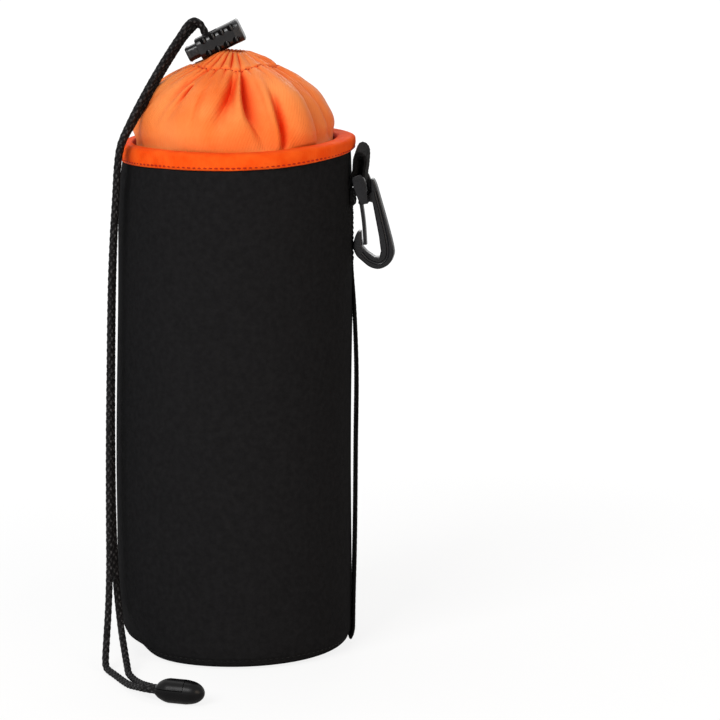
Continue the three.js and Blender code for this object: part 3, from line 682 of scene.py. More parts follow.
def add_seam_stitches():
    radius, height = BINDING_OUTER + 0.12, BINDING_LOW + 1
    round_stitches("rim_stitches", 132, radius, height, 0, RIM_STITCH, ORANGE_THREAD, "binding")
    height = 4.3
    lean = -math.asin(((CORNER - height) / CORNER) ** (1 / SQUARE))
    radius = BASE_RADIUS - CORNER + CORNER * math.cos(lean) ** SQUARE - 0.35
    round_stitches("base_stitches", 118, radius, height, lean, BASE_STITCH, BLACK_THREAD, "neoprene")


# Collar: a gathered dome of satin with a cord channel at its mouth

HEM = [(45.2, 208), (45.2, 215.5), (44.9, 218.4), (43.9, 221), (43.5, 223)]
DOME = [
    (43.4, 224.8), (43.6, 228), (44, 232.5), (43.3, 237), (41.4, 241.6), (38.5, 246.1), (34.2, 250.4), (27.4, 254.8),
    (20.5, 257.9), (17, 259.5), (12.5, 261.7), (9, 263.5), (6.6, 264.5),
]
LIP = [(4.9, 264.3), (4.2, 262.7), (4.6, 260.4), (6.3, 258.8), (9.2, 258.2), (12.6, 257.9), (16, 257)]
# Distance between the satin's rows of points
ROW_STEP = 0.36
# Folds as seen in the photograph, then the unseen ones. Each is a list of places along its line: share down
# the dome (0 at the mouth, 1 at the rim), turn in degrees, depth, width to the left, width to the right
FOLDS = [
    [(0.2, -77, 0.6, 0.6, 1), (0.32, -78.5, 2.8, 0.7, 2.2), (0.47, -80.5, 4.5, 0.7, 4.6), (0.6, -80.5, 5, 0.8, 5.8),
     (0.7, -79, 4.5, 1.1, 6), (0.81, -75, 3, 1.8, 5.4), (0.89, -72, 1.8, 2.4, 4.4), (1, -69, 0.5, 2.8, 4)],
    [(0.22, -88, 0, 1.4, 1.6), (0.32, -88.5, 2.2, 1.5, 2), (0.42, -89.5, 3.4, 1.6, 2.6), (0.56, -92.5, 3.9, 1.8, 3.6),
     (0.65, -95, 3.3, 2.2, 4.2), (0.75, -96.5, 1.8, 3, 4.2), (0.86, -97, 0, 4, 4)],
    [(0.3, -106, 0, 0.8, 1.2), (0.38, -107, 0.5, 0.8, 1.6), (0.53, -109, 0.8, 0.8, 1.8), (0.65, -110, 1, 0.9, 2),
     (0.75, -110, 0.9, 1.1, 2.2), (0.84, -109, 0.3, 1.6, 2.6), (0.92, -108, 0, 2, 3)],
    [(0.5, -59.5, 0, 1.6, 1), (0.6, -59, 1.4, 1.8, 1), (0.7, -58.6, 2.8, 2, 1.1), (0.8, -58, 3.5, 1.9, 1.2),
     (0.9, -57.7, 3.1, 1.6, 1.2), (1, -58, 1.7, 1.4, 1.3)],
    [(0.08, -20, 0.8, 0.5, 3), (0.18, -26, 2.2, 0.5, 5), (0.39, -34.5, 4.2, 0.5, 9), (0.53, -37, 5.2, 0.6, 12),
     (0.69, -36.6, 5.4, 0.6, 13), (0.81, -35.6, 4.8, 0.7, 13), (0.94, -31.5, 3.2, 0.8, 11), (1, -31, 1.9, 1, 9)],
    [(0.15, -2, 0.5, 1.2, 1.6), (0.4, -9, 1.6, 1.4, 2.8), (0.61, -12.5, 2, 1.5, 3.6), (0.75, -13, 1.8, 1.8, 3.6),
     (0.88, -12, 1.2, 2, 3.6), (1, -11, 0.6, 2.2, 3.6)],
    [(0.425, -122.4, 0, 0.7, 0.8), (0.455, -123, 1.9, 0.7, 0.9), (0.53, -124, 1.9, 0.9, 1.3),
     (0.61, -126, 1.4, 1.3, 2.2), (0.72, -129, 0.8, 2.4, 3.2), (0.86, -131, 0, 3, 4)],
    [(0.19, -124, 0.5, 0.9, 1.3), (0.26, -125.5, 1.3, 1, 1.6), (0.41, -130.5, 2, 1.5, 2.2),
     (0.57, -133.5, 1.6, 2.4, 2.8), (0.7, -136.5, 0.9, 3, 3.4), (0.81, -138.5, 0.3, 3.6, 3.8),
     (0.91, -138.5, 0, 4, 4)],
    [(0.19, -143, 0.8, 1.4, 0.9), (0.39, -148, 1.9, 3, 1), (0.52, -150.5, 2.1, 3.6, 1.1), (0.67, -154, 1.8, 4, 1.3),
     (0.8, -159, 1.3, 4, 1.8), (0.95, -161, 0.5, 4, 3)],
    [(0.2, -176, 0.7, 1, 1.4), (0.45, -178, 2.4, 1.6, 2.6), (0.7, -180, 2.6, 2.2, 3.4), (1, -184, 0.9, 3, 3)],
    [(0.2, 160, 0.6, 1.2, 1), (0.5, 158, 2.8, 3, 1.3), (0.75, 155, 2.6, 3.6, 1.8), (1, 152, 1.2, 3, 2)],
    [(0.2, 139, 0.6, 1, 1), (0.42, 136, 1.8, 1.2, 1.8), (0.6, 134, 2, 1.4, 2.4), (0.85, 131, 0.6, 2, 3),
     (1, 130, 0, 2, 3)],
    [(0.2, 117, 0.6, 1, 1.4), (0.5, 116, 3.4, 1.4, 3.4), (0.72, 113, 3.6, 2, 3.2), (1, 110, 1.4, 1.8, 2)],
    [(0.2, 97, 0.6, 1.2, 1), (0.45, 95, 1.8, 2.6, 1.4), (0.7, 93, 1.6, 3, 2), (0.92, 92, 0.2, 3, 3)],
    [(0.2, 76, 0.8, 0.9, 1.4), (0.5, 73, 3.2, 1.2, 4.2), (0.75, 70, 3.4, 1.6, 4), (1, 67, 1.6, 1.4, 3)],
    [(0.2, 52, 0.6, 1, 1.2), (0.45, 51, 2.2, 1.6, 2), (0.7, 50, 1.8, 2.4, 2.6), (0.95, 50, 0.4, 3, 3)],
    [(0.2, 33, 0.6, 1.4, 1), (0.5, 30, 2.8, 3.6, 1.3), (0.75, 27, 3, 3.4, 1.6), (1, 25, 1.4, 2.4, 1.6)],
    [(0.2, 14, 0.6, 1, 1.2), (0.5, 11, 1.6, 1.6, 2.4), (0.75, 9, 1.2, 2.4, 3), (0.95, 8, 0.3, 3, 3)],
]
# Lobes that stand proud between folds, in the same terms
LOBES = [
    [(0.16, -48, 0.3, 3, 4), (0.3, -51, 1.4, 3.5, 5), (0.48, -49, 2.4, 5, 6.4), (0.64, -47.5, 2.8, 6, 7),
     (0.81, -46.5, 2.6, 6.5, 7), (0.95, -44, 1.5, 6.5, 7.4), (1, -43.5, 0.8, 6.5, 7.4)],
    [(0.26, -67, 0.2, 1, 2.4), (0.4, -66, 0.9, 1.1, 2.4), (0.57, -65.5, 1.4, 1.3, 2.4), (0.71, -65, 1.3, 1.4, 2.2),
     (0.85, -63.5, 1, 1.4, 1.8), (1, -62.5, 0.5, 1.4, 1.6)],
    [(0.25, -81, 0, 0.8, 0.6), (0.41, -83.5, 1.2, 1.3, 0.9), (0.56, -84.5, 1.6, 1.8, 1.2), (0.68, -84, 1.3, 2.4, 1.4),
     (0.79, -83, 0.6, 4, 2), (0.9, -82, 0, 5, 3)],
    [(0.3, -112, 0, 5, 6), (0.55, -111, 1, 6, 7), (0.75, -112, 1.7, 8, 9), (0.92, -112, 1.2, 11, 11),
     (1, -112, 0.6, 11, 11)],
]


def along_folds(lines, turn, share, radius, sharp):
    """Sum of all folds' depths at a turn (radians) and a share down the dome."""
    total = np.zeros_like(turn)
    for line in lines:
        at = [q[0] for q in line]
        centre, depth, left, right = (np.interp(share, at, [q[k] for q in line]) for k in (1, 2, 3, 4))
        depth = depth * ease((share - at[0] + 0.03) / 0.06)
        away = wrapped(turn - np.radians(centre)) * radius
        width = np.where(away < 0, left, right)
        total += depth * np.exp(-(np.abs(away) / width) ** sharp)
    return total


def ruffles(turn, count, phase):
    """Gathers pulled tight: round ridges with narrow creases between them."""
    drift = 0.9 * np.sin(3 * turn + phase) + 0.5 * np.sin(5 * turn + 2 * phase)
    return np.abs(np.sin(count / 2 * turn + drift)) ** 0.8 - 0.62


def seam_share(turn):
    return 0.213 + 0.012 * np.sin(3 * turn + 0.5) + 0.009 * np.sin(8 * turn) + 0.006 * np.sin(13 * turn + 2)


def collar_lift(turn, share, radius):
    """Height of the satin over the plain dome."""
    lift = 1.15 * along_folds(LOBES, turn, share, radius, 2.6) - 1.2 * along_folds(FOLDS, turn, share, radius, 1.7)
    lift *= 1 - 0.75 * ease((share - 0.965) / 0.05)
    seam = seam_share(turn)
    above = ease((seam - share) / 0.03 + 0.5)
    below = np.interp(share, (0.2, 0.27, 0.36, 0.48, 0.62), (1.35, 1.15, 0.7, 0.3, 0))
    casing = np.interp(share, (0, 0.05, 0.12, 0.2), (0.6, 1.1, 1.3, 1.0))
    casing = casing * (1 + 0.4 * np.sin(3 * turn + 1.2) + 0.25 * np.sin(7 * turn))
    lift += above * (casing * ruffles(turn, 24, 0.4) + 0.35) + (1 - above) * below * ruffles(turn, 30, 1.7)
    lift -= 0.75 * np.exp(-((share - seam) / 0.011) ** 2)
    fine = np.sin(6 * turn + 9 * share) * np.sin(17 * share + 2 * turn) + 0.5 * np.sin(15 * turn - 21 * share + 1)
    return lift + 0.16 * fine * ease((share - 0.3) / 0.2) * ease((1 - share) / 0.1)


def dome_centre(z):
    return np.interp(z, (224, 230, 240, 255, 262), (0.9, 0.7, 0.45, 0.6, 1.2))


def collar_place(turn, radius, height, share, inside, normal_r, normal_z):
    """Point on the satin. share is down the dome; inside is above 0 on the lip that turns in."""
    lift = collar_lift(turn, share, np.maximum(radius, 7)) * (1 - inside) + 0.3 * inside * ruffles(turn, 24, 0.4)
    lift = lift * ease((height - 222.5) / 5)
    r, z = radius + normal_r * lift, height + normal_z * lift
    x, y = r * np.cos(turn), r * np.sin(turn)
    pressed = 0.9 * np.exp(-(wrapped(turn - math.pi) / 0.7) ** 2) * ease((21 - r) / 7)
    lean = 0.07 * (1.5 - x) * ease((z - 252) / 10) * ease((15 - r) / 7) - pressed
    own = np.stack([x + dome_centre(z), y, z + lean + rim_lift(x) * ease((246 - z) / 20)], axis=-1)
    stood = settle(np.stack([x, y, z], axis=-1).reshape(-1, 3)).reshape(own.shape)
    low = ease((233 - z) / 8)[..., None]
    return own + (stood - own) * low


def collar_rows():
    """Radius, height, share down the dome, inside share and outward direction of each row, hem first."""
    line = even(through(HEM + DOME + LIP, 0.4), ROW_STEP)
    top, rim = (int(np.argmin(np.hypot(*(line - end).T))) for end in (DOME[-1], DOME[0]))
    index = np.arange(len(line))
    share = np.clip((top - index) / (top - rim), 0, 1.3)
    inside = np.clip((index - top) / 8, 0, 1)
    slope = unit(np.gradient(line, axis=0))
    return line[:, 0], line[:, 1], share, inside, slope[:, 1], -slope[:, 0]


def add_collar():
    around, within, without, weave_radius = 600, 0.3, 0.15, 44
    rows = [np.repeat(q[:, None], around, axis=1) for q in collar_rows()]
    turn = np.repeat(circle(around)[None, :], len(rows[0]), axis=0)
    points = collar_place(turn, *rows)
    ahead = np.roll(points, -1, axis=1) - np.roll(points, 1, axis=1)
    normal = unit(np.cross(ahead, np.gradient(points, axis=0)))
    layers = [(points + normal * depth).reshape(-1, 3) for depth in (without, -within)]
    up = len(points)
    uv = np.stack([turn.ravel() * weave_radius, np.repeat(np.arange(up) * ROW_STEP, around)], axis=1) / 10
    obj = make("collar_satin", np.vstack(layers), shell_faces(up, around, True), SATIN, np.vstack([uv, uv]))
    piece(outward(obj), "collar")
    add_collar_stitches()


def add_collar_stitches():
    """The channel's stitching, which the gathers pull into a wavy line."""
    turn = circle(76)
    radius, height, shares, _, normal_r, normal_z = collar_rows()
    order = np.argsort(shares[shares < 1])
    known = [q[shares < 1][order] for q in (shares, radius, height, normal_r, normal_z)]

    def at(t):
        s = seam_share(t)
        r, z, nr, nz = (np.interp(s, known[0], q) for q in known[1:])
        return collar_place(t, r, z, s, np.zeros_like(t), nr, nz), nr, nz

    places, nr, nz = at(turn)
    ahead, _, _ = at(turn + 0.02)
    directions = [(b - a, np.array([r * math.cos(t), r * math.sin(t), z]))
                  for a, b, r, z, t in zip(places, ahead, nr, nz, turn)]
    lifted = places + np.array([d[1] for d in directions]) * 0.22
    stitch_run("collar_stitches", lifted, directions, COLLAR_STITCH, ORANGE_THREAD, "satin")


# Webbing

RIB_PITCH = 1.35


def ribbon(name, line, width, turn, step=0.55, skew=None):
    """Webbing along a line of (distance from the axis, height), turned round the pouch. Ribs run across it."""
    p = even(through([(x, 0, z) for x, z in line], 0.5), step)
    tangent = unit(np.gradient(p, axis=0))
    out = np.stack([tangent[:, 2], np.zeros(len(p)), -tangent[:, 0]], axis=1)
    half, thick = width / 2, WEBBING_THICKNESS / 2
    edge = [(y, thick) for y in np.linspace(-half + 0.5, half - 0.5, 15)]
    edge += [(half - 0.12, thick * 0.75), (half, 0), (half - 0.12, -thick * 0.75)]
    outline = np.vstack([edge, -np.array(edge)])
    cols = len(outline)
    u, k = np.meshgrid(np.arange(len(p)) * step, np.arange(cols), indexing="ij")
    yy, oo = outline[k, 0], outline[k, 1]
    weave = TAU * u / RIB_PITCH
    oo = oo + np.sign(oo) * 0.09 * np.cos(weave + (np.abs(yy) > half - 1.2) * math.pi)
    yy = yy + 0.12 * np.cos(weave) * (np.abs(yy) > half - 0.3) * np.sign(yy)
    verts = (p[:, None, :] + out[:, None, :] * oo[..., None] + np.array([0, 1, 0]) * yy[..., None]).reshape(-1, 3)
    if skew is not None:
        verts = skew(verts)
    uvs = np.stack([yy.ravel() / 10, u.ravel() / 10], axis=1)
    return outward(make(name, verts @ turned(turn).T, tube_faces(len(p), cols), WEBBING, uvs))


def strap_line():
    top, patch = 197.5, 171.5
    offset = SEAT_GAP + WEBBING_THICKNESS / 2
    line = [(sleeve_radius(top) + offset, top), (sleeve_radius(184) + offset, 184)]
    for down, slack in ((0, 0), (0.13, 0.62), (0.3, 1), (0.5, 0.78), (0.75, 0.5), (0.93, 0.12), (1, 0)):
        z = patch + (CORNER - patch) * down
        line.append((sleeve_radius(z) + offset + 2.1 * slack, z))
    line += [tuple(q) for q in corner_arc(CORNER + offset, 0, SEAM_TURN, 8, SQUARE)[1:]]
    return line


def add_strap():
    piece(ribbon("strap_webbing", strap_line(), 18, STRAP_TURN), "belt_strap")
    face = SEAT_GAP + WEBBING_THICKNESS + 0.05
    box_stitches("strap_stitches", STRAP_TURN, 13.5, 173.5, 195.5, lambda z: sleeve_radius(z) + face, True)


def box_stitches(name, turn, width, low, high, radius_at, cross=False):
    """A sewn box, with its cross, on the outside of a strap."""
    half = width / 2
    corners = [(-half, low), (half, low), (half, high), (-half, high), (-half, low)]
    runs = [even([a, b], 2.1) for a, b in zip(corners, corners[1:])]
    if cross:
        runs += [even([corners[0], corners[2]], 2.1), even([corners[1], corners[3]], 2.1)]
    places, directions = [], []
    rot = turned(turn)
    for run in runs:
        for a, b in zip(run[:-1], run[1:]):
            y, z = (a + b) / 2
            places.append(rot @ np.array([radius_at(z), y, z]))
            directions.append((rot @ np.array([0, b[0] - a[0], b[1] - a[1]]), rot @ np.array([1.0, 0, 0])))
    stitch_run(name, places, directions, WEBBING_STITCH, BLACK_THREAD, "webbing")


def tab_line():
    inner = sleeve_radius(198.5) + SEAT_GAP + WEBBING_THICKNESS / 2
    outer_leg = inner + WEBBING_THICKNESS + SEAT_GAP
    wrap = BAR_RADIUS + SEAT_GAP + WEBBING_THICKNESS / 2
    out = BAR_PLACE + wrap
    line = [
        (inner, 198.5), (inner, 206.5), (53.3, 210.5), (54.3, 214), (54.5, 217.5), (54.9, 221), (56.2, 223.2),
        (58.2, 223), (59.6, 220.8), (59.5, 216.8), (58.9, 212.7), (out, BAR_HEIGHT),
    ]
    for a in np.linspace(0, -math.pi * 0.62, 5)[1:]:
        line.append((BAR_PLACE + wrap * math.cos(a), BAR_HEIGHT + wrap * math.sin(a)))
    line += [(outer_leg + 0.15, BAR_HEIGHT - 2 * wrap), (outer_leg, 202.1), (outer_leg, 198.5)]
    return line, outer_leg


def twist_loop(verts):
    """The loop's far edge stands higher, and its inner leg turns its face to the front."""
    far, z = verts[:, 1] / 6, verts[:, 2]
    leg = ease((z - 205.5) / 4) * (1 - ease((z - 217.5) / 4)) * ease((58.3 - verts[:, 0]) / 1.5)
    return verts + np.stack([1.8 * (far + 1) * leg, np.zeros(len(verts)), 1.7 * far * ease((z - 214) / 7)], axis=1)


def add_tab():
    line, outer_leg = tab_line()
    piece(ribbon("tab_webbing", line, 12, TAB_TURN, 0.4, twist_loop), "hook_tab")
    face = outer_leg + WEBBING_THICKNESS / 2 + 0.08
    box_stitches("tab_stitches", TAB_TURN, 8.4, 199.6, 203.2, lambda z: face)


# Solid helpers for the moulded pieces

def baked(obj):
    """The object's mesh with its modifiers and place applied."""
    bpy.context.view_layer.update()
    mesh = bpy.data.meshes.new_from_object(obj.evaluated_get(bpy.context.evaluated_depsgraph_get()))
    mesh.transform(obj.matrix_world)
    name = obj.name
    bpy.data.objects.remove(obj)
    return add_object(name, mesh)


def plate(name, outline, thickness, edge):
    """A plate whose outline lies in XZ, with rounded edges, centred on Y."""
    curve = bpy.data.curves.new(name, "CURVE")
    curve.dimensions = "2D"
    curve.fill_mode = "BOTH"
    curve.extrude = (thickness / 2 - edge) * MM
    curve.bevel_depth = edge * MM
    curve.bevel_resolution = 3
    curve.offset = -edge * MM
    spline = curve.splines.new("POLY")
    spline.points.add(len(outline) - 1)
    for point, (x, z) in zip(spline.points, outline):
        point.co = (x * MM, z * MM, 0, 1)
    spline.use_cyclic_u = True
    obj = add_object(name, curve)
    obj.matrix_world = Matrix.Rotation(math.pi / 2, 4, "X")
    return outward(baked(obj), 1e-6)


def boolean(obj, others, operation):
    for other in others:
        step = obj.modifiers.new("join", "BOOLEAN")
        step.operation = operation
        step.solver = "EXACT"
        step.object = other
    obj = baked(obj)
    for other in others:
        bpy.data.objects.remove(other)
    return obj


def tube(name, line, radius, sides, finish=None):
    verts = tube_points(np.array(line, float), circle(sides), radius)
    return outward(make(name, verts, tube_faces(len(line), sides), finish))


def cylinder_y(name, place, radius, width):
    return tube(name, [(place[0], y, place[1]) for y in np.linspace(-width / 2, width / 2, 4)], radius, 24)


def rounded_box(name, low, high, edge, segments=3):
    low, high = np.array(low, float), np.array(high, float)
    work = bmesh.new()
    bmesh.ops.create_cube(work, size=1)
    for v in work.verts:
        v.co = Vector((low + (np.array(v.co) + 0.5) * (high - low)) * MM)
    bmesh.ops.bevel(work, geom=list(work.edges), offset=edge * MM, segments=segments, affect="EDGES", profile=0.5)
    mesh = bpy.data.meshes.new(name)
    work.to_mesh(mesh)
    work.free()
    return add_object(name, mesh)


def dress(obj, finish, angle=35):
    """One finish on smooth faces, with edges kept crisp above an angle."""
    mesh = obj.data
    mesh.materials.clear()
    mesh.materials.append(finish)
    mesh.polygons.foreach_set("material_index", [0] * len(mesh.polygons))
    mesh.polygons.foreach_set("use_smooth", [True] * len(mesh.polygons))
    mesh.set_sharp_from_angle(angle=math.radians(angle))
    return obj


# Cord lock, in its own frame: X along the barrel, Z along the cord

SLOT_WIDTH = 7
BARREL_START = -5.7
BARREL_END = 15
# Both broad faces have two rows of round pockets, each with a rib across it
POCKETS = [BARREL_START + 3.85 + 4.35 * i for i in range(4)]
POCKET_ROW = 3
POCKET_RADIUS = 1.55
RIB_ROW = 2.75


def lock_matrix():
    return (Matrix.Translation(Vector(LOCK_SEAT) * MM) @ Matrix.Rotation(-LOCK_TILT, 4, "Y")
            @ Matrix.Translation(Vector((0, 0, LOCK_LIFT - LOCK_DROP)) * MM))


def long_box(name, from_x, to_x, height, width, corner, edge):
    """A bar of rounded section along X with softened ends."""
    outline = []
    for cx, cy, start in ((1, 1, 0), (-1, 1, 90), (-1, -1, 180), (1, -1, 270)):
        for a in np.radians(np.linspace(start, start + 90, 8)):
            outline.append((cx * (width / 2 - corner) + corner * math.cos(a),
                            cy * (height / 2 - corner) + corner * math.sin(a)))
    outline = np.array(outline)
    stations = [(from_x, -edge), (from_x + 0.3 * edge, -0.35 * edge), (from_x + edge, 0), (to_x - edge, 0),
                (to_x - 0.3 * edge, -0.35 * edge), (to_x, -edge)]
    verts = []
    for x, inset in stations:
        scale = np.array([(width + 2 * inset) / width, (height + 2 * inset) / height])
        verts += [(x, *(q * scale)) for q in outline]
    return outward(make(name, np.array(verts), tube_faces(len(stations), len(outline))))


def slot_cutter(from_x, to_x):
    """Cuts the cords' slot, which runs through the lock along Z."""
    return rounded_box("cutter", (from_x, -SLOT_WIDTH / 2, -9), (to_x, SLOT_WIDTH / 2, 9), 0.7)


def add_lock():
    barrel = long_box("lock_barrel", BARREL_START, BARREL_END, 9.7, 12.4, 3.2, 0.45)
    added, pockets = [], []
    for px in POCKETS:
        x = px + 0.35
        for row in (-1, 1):
            for side in (-1, 1):
                face, rib = side * 5.95, row * RIB_ROW
                added.append(rounded_box("rib", (x - 0.5, face - 0.7, rib - 1.2), (x + 0.5, face + 0.7, rib + 1.2),
                                         0.35, 2))
                pocket = cylinder_y("pocket", (px, row * POCKET_ROW), POCKET_RADIUS, 1.6)
                pocket.data.transform(Matrix.Translation((0, side * 6.25 * MM, 0)))
                pockets.append(pocket)
    for i in range(5):
        x = BARREL_END - 0.55 - 0.62 * i
        added.append(long_box("ridge", x - 0.16, x + 0.16, 10, 12.7, 3.3, 0.1))
    barrel = boolean(boolean(barrel, pockets, "DIFFERENCE"), added, "UNION")
    bore = long_box("bore", BARREL_START - 3, 13.5, 6.8, 10.2, 2.2, 0.05)
    barrel = dress(boolean(barrel, [bore, slot_cutter(-1.75, 5.25)], "DIFFERENCE"), LOCK_PLASTIC)
    # Painted shade: the pocket floors get the darker, duller plastic.
    barrel.data.materials.append(LOCK_PAINTED_SHADE)
    for face in barrel.data.polygons:
        x, y, z = face.center / MM
        near = min(math.hypot(x - px, abs(z) - POCKET_ROW) for px in POCKETS)
        if near < POCKET_RADIUS + 0.15 and 5.2 < abs(y) < 6.1:
            face.material_index = 1
    piece(barrel, "cord_lock_barrel", "lock", lock_matrix())
    band = long_box("band", -10.6, -9.8, 6.75, 10.05, 2.15, 0.15)
    pad = rounded_box("pad", (-8.7, -4.96, -1.7), (-6.2, 4.96, 1.7), 0.25, 2)
    plunger = boolean(long_box("lock_plunger", -11.1, 7, 6.3, 9.6, 2, 0.35), [band, pad], "UNION")
    plunger = dress(boolean(plunger, [slot_cutter(-5.25, 1.75)], "DIFFERENCE"), LOCK_PLASTIC)
    piece(plunger, "cord_lock_plunger", "plunger", lock_matrix())


def add_spring():
    turns, low, high, radius, wire = 5, 8.3, 13.2, 2.3, 0.3
    t = np.linspace(0, 1, 180)
    turn = TAU * turns * t
    coil = np.stack([low + (high - low) * t, radius * np.cos(turn), radius * np.sin(turn)], axis=1)
    obj = tube("lock_spring", coil, wire, 8, STEEL)
    place = lock_matrix()
    piece(obj, "cord_lock_spring", "lock", place)
    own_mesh(obj)


# Cord end: a moulded capsule in two halves

# Share along it from its open end, then its width and height as shares of the widest
CORD_END_SHAPE = [
    (0, 0.66, 0.38), (0.012, 0.74, 0.44), (0.04, 0.8, 0.55), (0.07, 0.85, 0.68), (0.16, 0.94, 0.88),
    (0.25, 0.995, 0.985), (0.33, 1, 1), (0.6, 1, 1), (0.7, 0.96, 0.96), (0.79, 0.885, 0.885), (0.86, 0.775, 0.775),
    (0.92, 0.61, 0.61), (0.96, 0.45, 0.45), (0.985, 0.28, 0.28), (0.996, 0.14, 0.14),
]
CORD_END_LENGTH = 21.5


def add_cord_end():
    sides, wide, high = 48, 5.1, 5.25
    place = Matrix.Translation(Vector((-29.6, -99.6, high)) * MM) @ Matrix.Rotation(math.radians(-19), 4, "Z")
    stations = through(CORD_END_SHAPE, 0.02)
    verts = [(CORD_END_LENGTH * along, wide * w * math.cos(a), high * min(1, h) * math.sin(a))
             for along, w, h in stations for a in circle(sides)]
    lower = outward(make("cord_end", np.array(verts), tube_faces(len(stations), sides)))
    upper = add_object("cord_end_cover", lower.data.copy())
    # The halves stay 0.3 mm apart, and the cords' channel is cut out of both
    for obj, seam, far, operation, replaced in (
        (upper, 1.5, 13.2, "INTERSECT", "cord_end_lid"),
        (lower, 1.2, 13.5, "DIFFERENCE", "cord_end_shell"),
    ):
        obj = boolean(obj, [rounded_box("part", (-3, -9, seam), (far, 9, 9), 0.25)], operation)
        obj = boolean(obj, [long_box("channel", -3, 8.3, 3.8, 7.3, 1.6, 0.05)], "DIFFERENCE")
        piece(dress(obj, CORD_END_PLASTIC, 30), replaced, place=place)


# Snap hook: outline in shares of its reach and length, close to the CAD part's

HOOK_OUTER = [
    (0.6, -0.012), (0.7, -0.02), (0.78, -0.07), (0.84, -0.21), (0.955, -0.555), (1, -0.805), (0.9, -0.897),
    (0.6, -0.972), (0.11, -1), (-0.32, -0.962), (-0.64, -0.882), (-0.89, -0.802), (-0.945, -0.7),
    (-0.76, -0.605), (-0.56, -0.545),
]
HOOK_INNER = [
    (-0.42, -0.555), (-0.48, -0.64), (-0.5, -0.725), (-0.34, -0.785), (0, -0.862), (0.23, -0.872), (0.36, -0.81),
    (0.415, -0.645), (0.43, -0.415), (0.44, -0.27), (0.32, -0.255), (0.02, -0.255),
    (-0.1, -0.215), (-0.02, -0.178), (0.3, -0.17), (0.47, -0.14), (0.53, -0.03),
]
CHEEK = [
    (-0.17, 0.062), (0.23, 0.07), (0.38, 0.02), (0.43, -0.04), (0.33, -0.18), (0.315, -0.255), (0.01, -0.255),
    (-0.11, -0.205), (-0.225, -0.058), (-0.225, 0.03),
]
GROOVE = [(0.69, -0.15), (0.74, -0.4), (0.76, -0.72), (0.62, -0.88), (0.2, -0.94), (-0.28, -0.885), (-0.58, -0.79)]
GATE_ROOT = (-0.135, -0.243)
GATE_TIP = (-0.36, -0.712)
HOOK_THICKNESS = 5.4
GATE_THICKNESS = 4
CHEEK_PLACE = 7.4


def hook_point(share):
    """A place in the hook's own frame: X outwards and Z up from the bar."""
    return HOOK_REACH * share[0], HOOK_LENGTH * share[1]


def hook_matrix():
    return (Matrix.Rotation(TAB_TURN, 4, "Z") @ Matrix.Translation(Vector((BAR_PLACE, 0, BAR_HEIGHT)) * MM)
            @ Matrix.Rotation(-HOOK_TILT, 4, "Y"))


def add_hook():
    outline = [*through([hook_point(s) for s in HOOK_OUTER], 0.7), *(hook_point(s) for s in HOOK_INNER)]
    groove = through([hook_point(s) for s in GROOVE], 0.6)
    root = hook_point(GATE_ROOT)
    (near, low), (far, high) = hook_point((-0.11, -0.255)), hook_point((0.315, -0.178))
    parts, cutters = [], []
    for side in (-1, 1):
        cheek = plate("cheek", [hook_point(s) for s in CHEEK], 2, 0.3)
        cheek.data.transform(Matrix.Translation((0, side * CHEEK_PLACE * MM, 0)))
        parts.append(cheek)
        cutters.append(tube("groove", [(x, side * (HOOK_THICKNESS / 2 + 0.1), z) for x, z in groove], 0.72, 14))
    parts.append(cylinder_y("bar", (0, 0), BAR_RADIUS, 2 * CHEEK_PLACE))
    parts.append(rounded_box("crosspiece", (near, -CHEEK_PLACE, low), (far, CHEEK_PLACE, high), 0.3))
    cutters.append(cylinder_y("socket", root, 1.4, GATE_THICKNESS + 0.6))
    cutters.append(rounded_box("socket_mouth", (root[0] - 1.4, -2.3, root[1] - 4.4), (root[0] + 2.76, 2.3, root[1]),
                               0.15, 2))
    body = boolean(plate("hook_body", outline, HOOK_THICKNESS, 0.62), parts, "UNION")
    body = dress(boolean(body, cutters, "DIFFERENCE"), HOOK_PLASTIC)
    piece(body, "hook_frame", "hook", hook_matrix())
    a, b = np.array(root), np.array(hook_point(GATE_TIP))
    along = (b - a) / np.linalg.norm(b - a)
    bend = (a + b) / 2 + np.array([along[1], -along[0]]) * -0.3
    centre = through([a, bend, b], 0.8)
    tangent = unit(np.gradient(centre, axis=0))
    across = np.stack([-tangent[:, 1], tangent[:, 0]], axis=1) * 0.68
    gate = plate("hook_tongue", [*(centre + across), *(centre - across)[::-1]], GATE_THICKNESS, 0.3)
    gate = dress(boolean(gate, [cylinder_y("knuckle", root, 1.1, GATE_THICKNESS)], "UNION"), HOOK_PLASTIC)
    piece(gate, "hook_gate", "gate", hook_matrix())


# Floor, background and light

def mix_shaders(tree, share, under, over, out):
    mix = node(tree, "ShaderNodeMixShader")
    for socket, source in (("Fac", share), (1, under), (2, over)):
        tree.links.new(source, mix.inputs[socket])
    tree.links.new(mix.outputs["Shader"], out.inputs["Surface"])


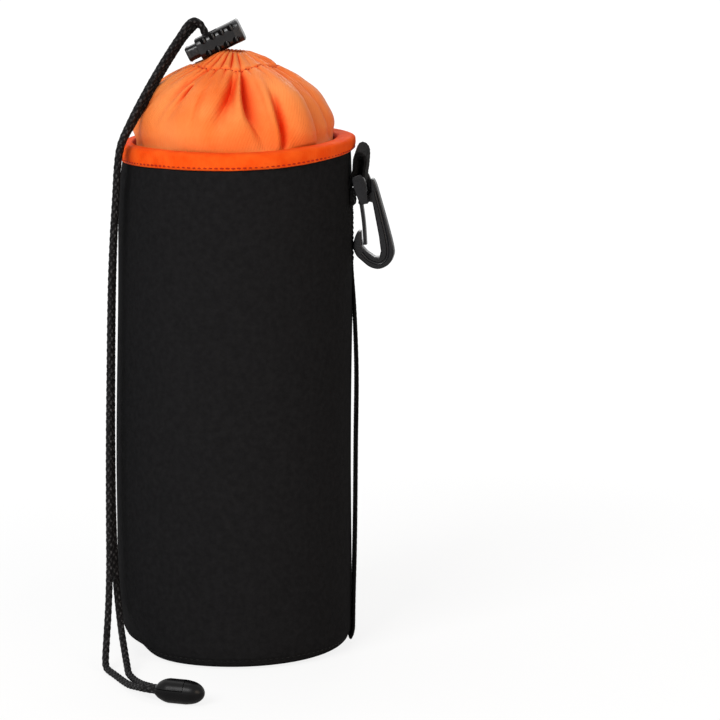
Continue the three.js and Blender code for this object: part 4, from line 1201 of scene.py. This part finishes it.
def add_floor():
    """Pale floor that keeps the shadow. The camera sees it glow, more so away from the pouch."""
    bpy.ops.mesh.primitive_plane_add(size=14, location=(0, 0, -0.0002))
    floor = bpy.context.object
    floor.name = "floor"
    finish, tree = shader("floor_white", (0.9, 0.9, 0.9, 1), 0.9, 0.1)
    glow = node(tree, "ShaderNodeEmission", Color=WHITE, Strength=1.06)
    path = node(tree, "ShaderNodeLightPath")
    away = node(tree, "ShaderNodeVectorMath", operation="LENGTH", Vector=coordinates(tree))
    share = math_node(tree, path.outputs["Is Camera Ray"], ramp(tree, away.outputs["Value"], 0.12, 0.75, 0.8, 1.0))
    matt = tree.nodes["Principled BSDF"]
    mix_shaders(tree, share, matt.outputs["BSDF"], glow.outputs["Emission"], tree.nodes["Material Output"])
    floor.data.materials.append(finish)


def add_world():
    """A dim white room that the camera, gloss and clear things see as white."""
    world = bpy.data.worlds.new("studio")
    bpy.context.scene.world = world
    world.use_nodes = True
    tree = world.node_tree
    for old in list(tree.nodes):
        tree.nodes.remove(old)
    soft = node(tree, "ShaderNodeBackground", Color=WHITE, Strength=0.24)
    white = node(tree, "ShaderNodeBackground", Color=WHITE, Strength=1.0)
    path = node(tree, "ShaderNodeLightPath")
    seen = math_node(tree, path.outputs["Is Camera Ray"], path.outputs["Is Glossy Ray"], "MAXIMUM")
    seen = math_node(tree, seen, path.outputs["Is Transmission Ray"], "MAXIMUM")
    out = node(tree, "ShaderNodeOutputWorld")
    mix_shaders(tree, seen, soft.outputs["Background"], white.outputs["Background"], out)


def add_lamp(name, place, target, size, power, colour=(1, 1, 1)):
    data = bpy.data.lights.new(name, "AREA")
    data.shape = "RECTANGLE"
    data.size, data.size_y = size
    data.energy = power
    data.color = colour
    lamp = add_object(name, data)
    lamp.location = place
    lamp.rotation_euler = (Vector(target) - Vector(place)).to_track_quat("-Z", "Y").to_euler()


def add_lamps():
    add_lamp("key", (-0.85, -1.5, 1.2), (0, 0, 0.15), (1.0, 0.8), 26.0)
    add_lamp("fill", (1.1, -1.6, 0.7), (0, 0, 0.13), (0.8, 0.8), 9.5, (1.0, 0.78, 0.6))
    add_lamp("top", (-0.2, 0.4, 1.5), (0, 0, 0.2), (0.8, 0.8), 3.0)
    add_lamp("back", (0.3, 1.9, 1.1), (0, 0, 0.12), (0.9, 0.9), 6.0)


add_camera()
add_cord_end()
add_cords()
add_sleeve()
add_base()
add_tapes()
add_binding()
add_seam_stitches()
add_collar()
add_strap()
add_tab()
add_lock()
add_hook()
add_spring()
add_floor()
add_world()
add_lamps()

bpy.context.scene.view_settings.view_transform = "Standard"
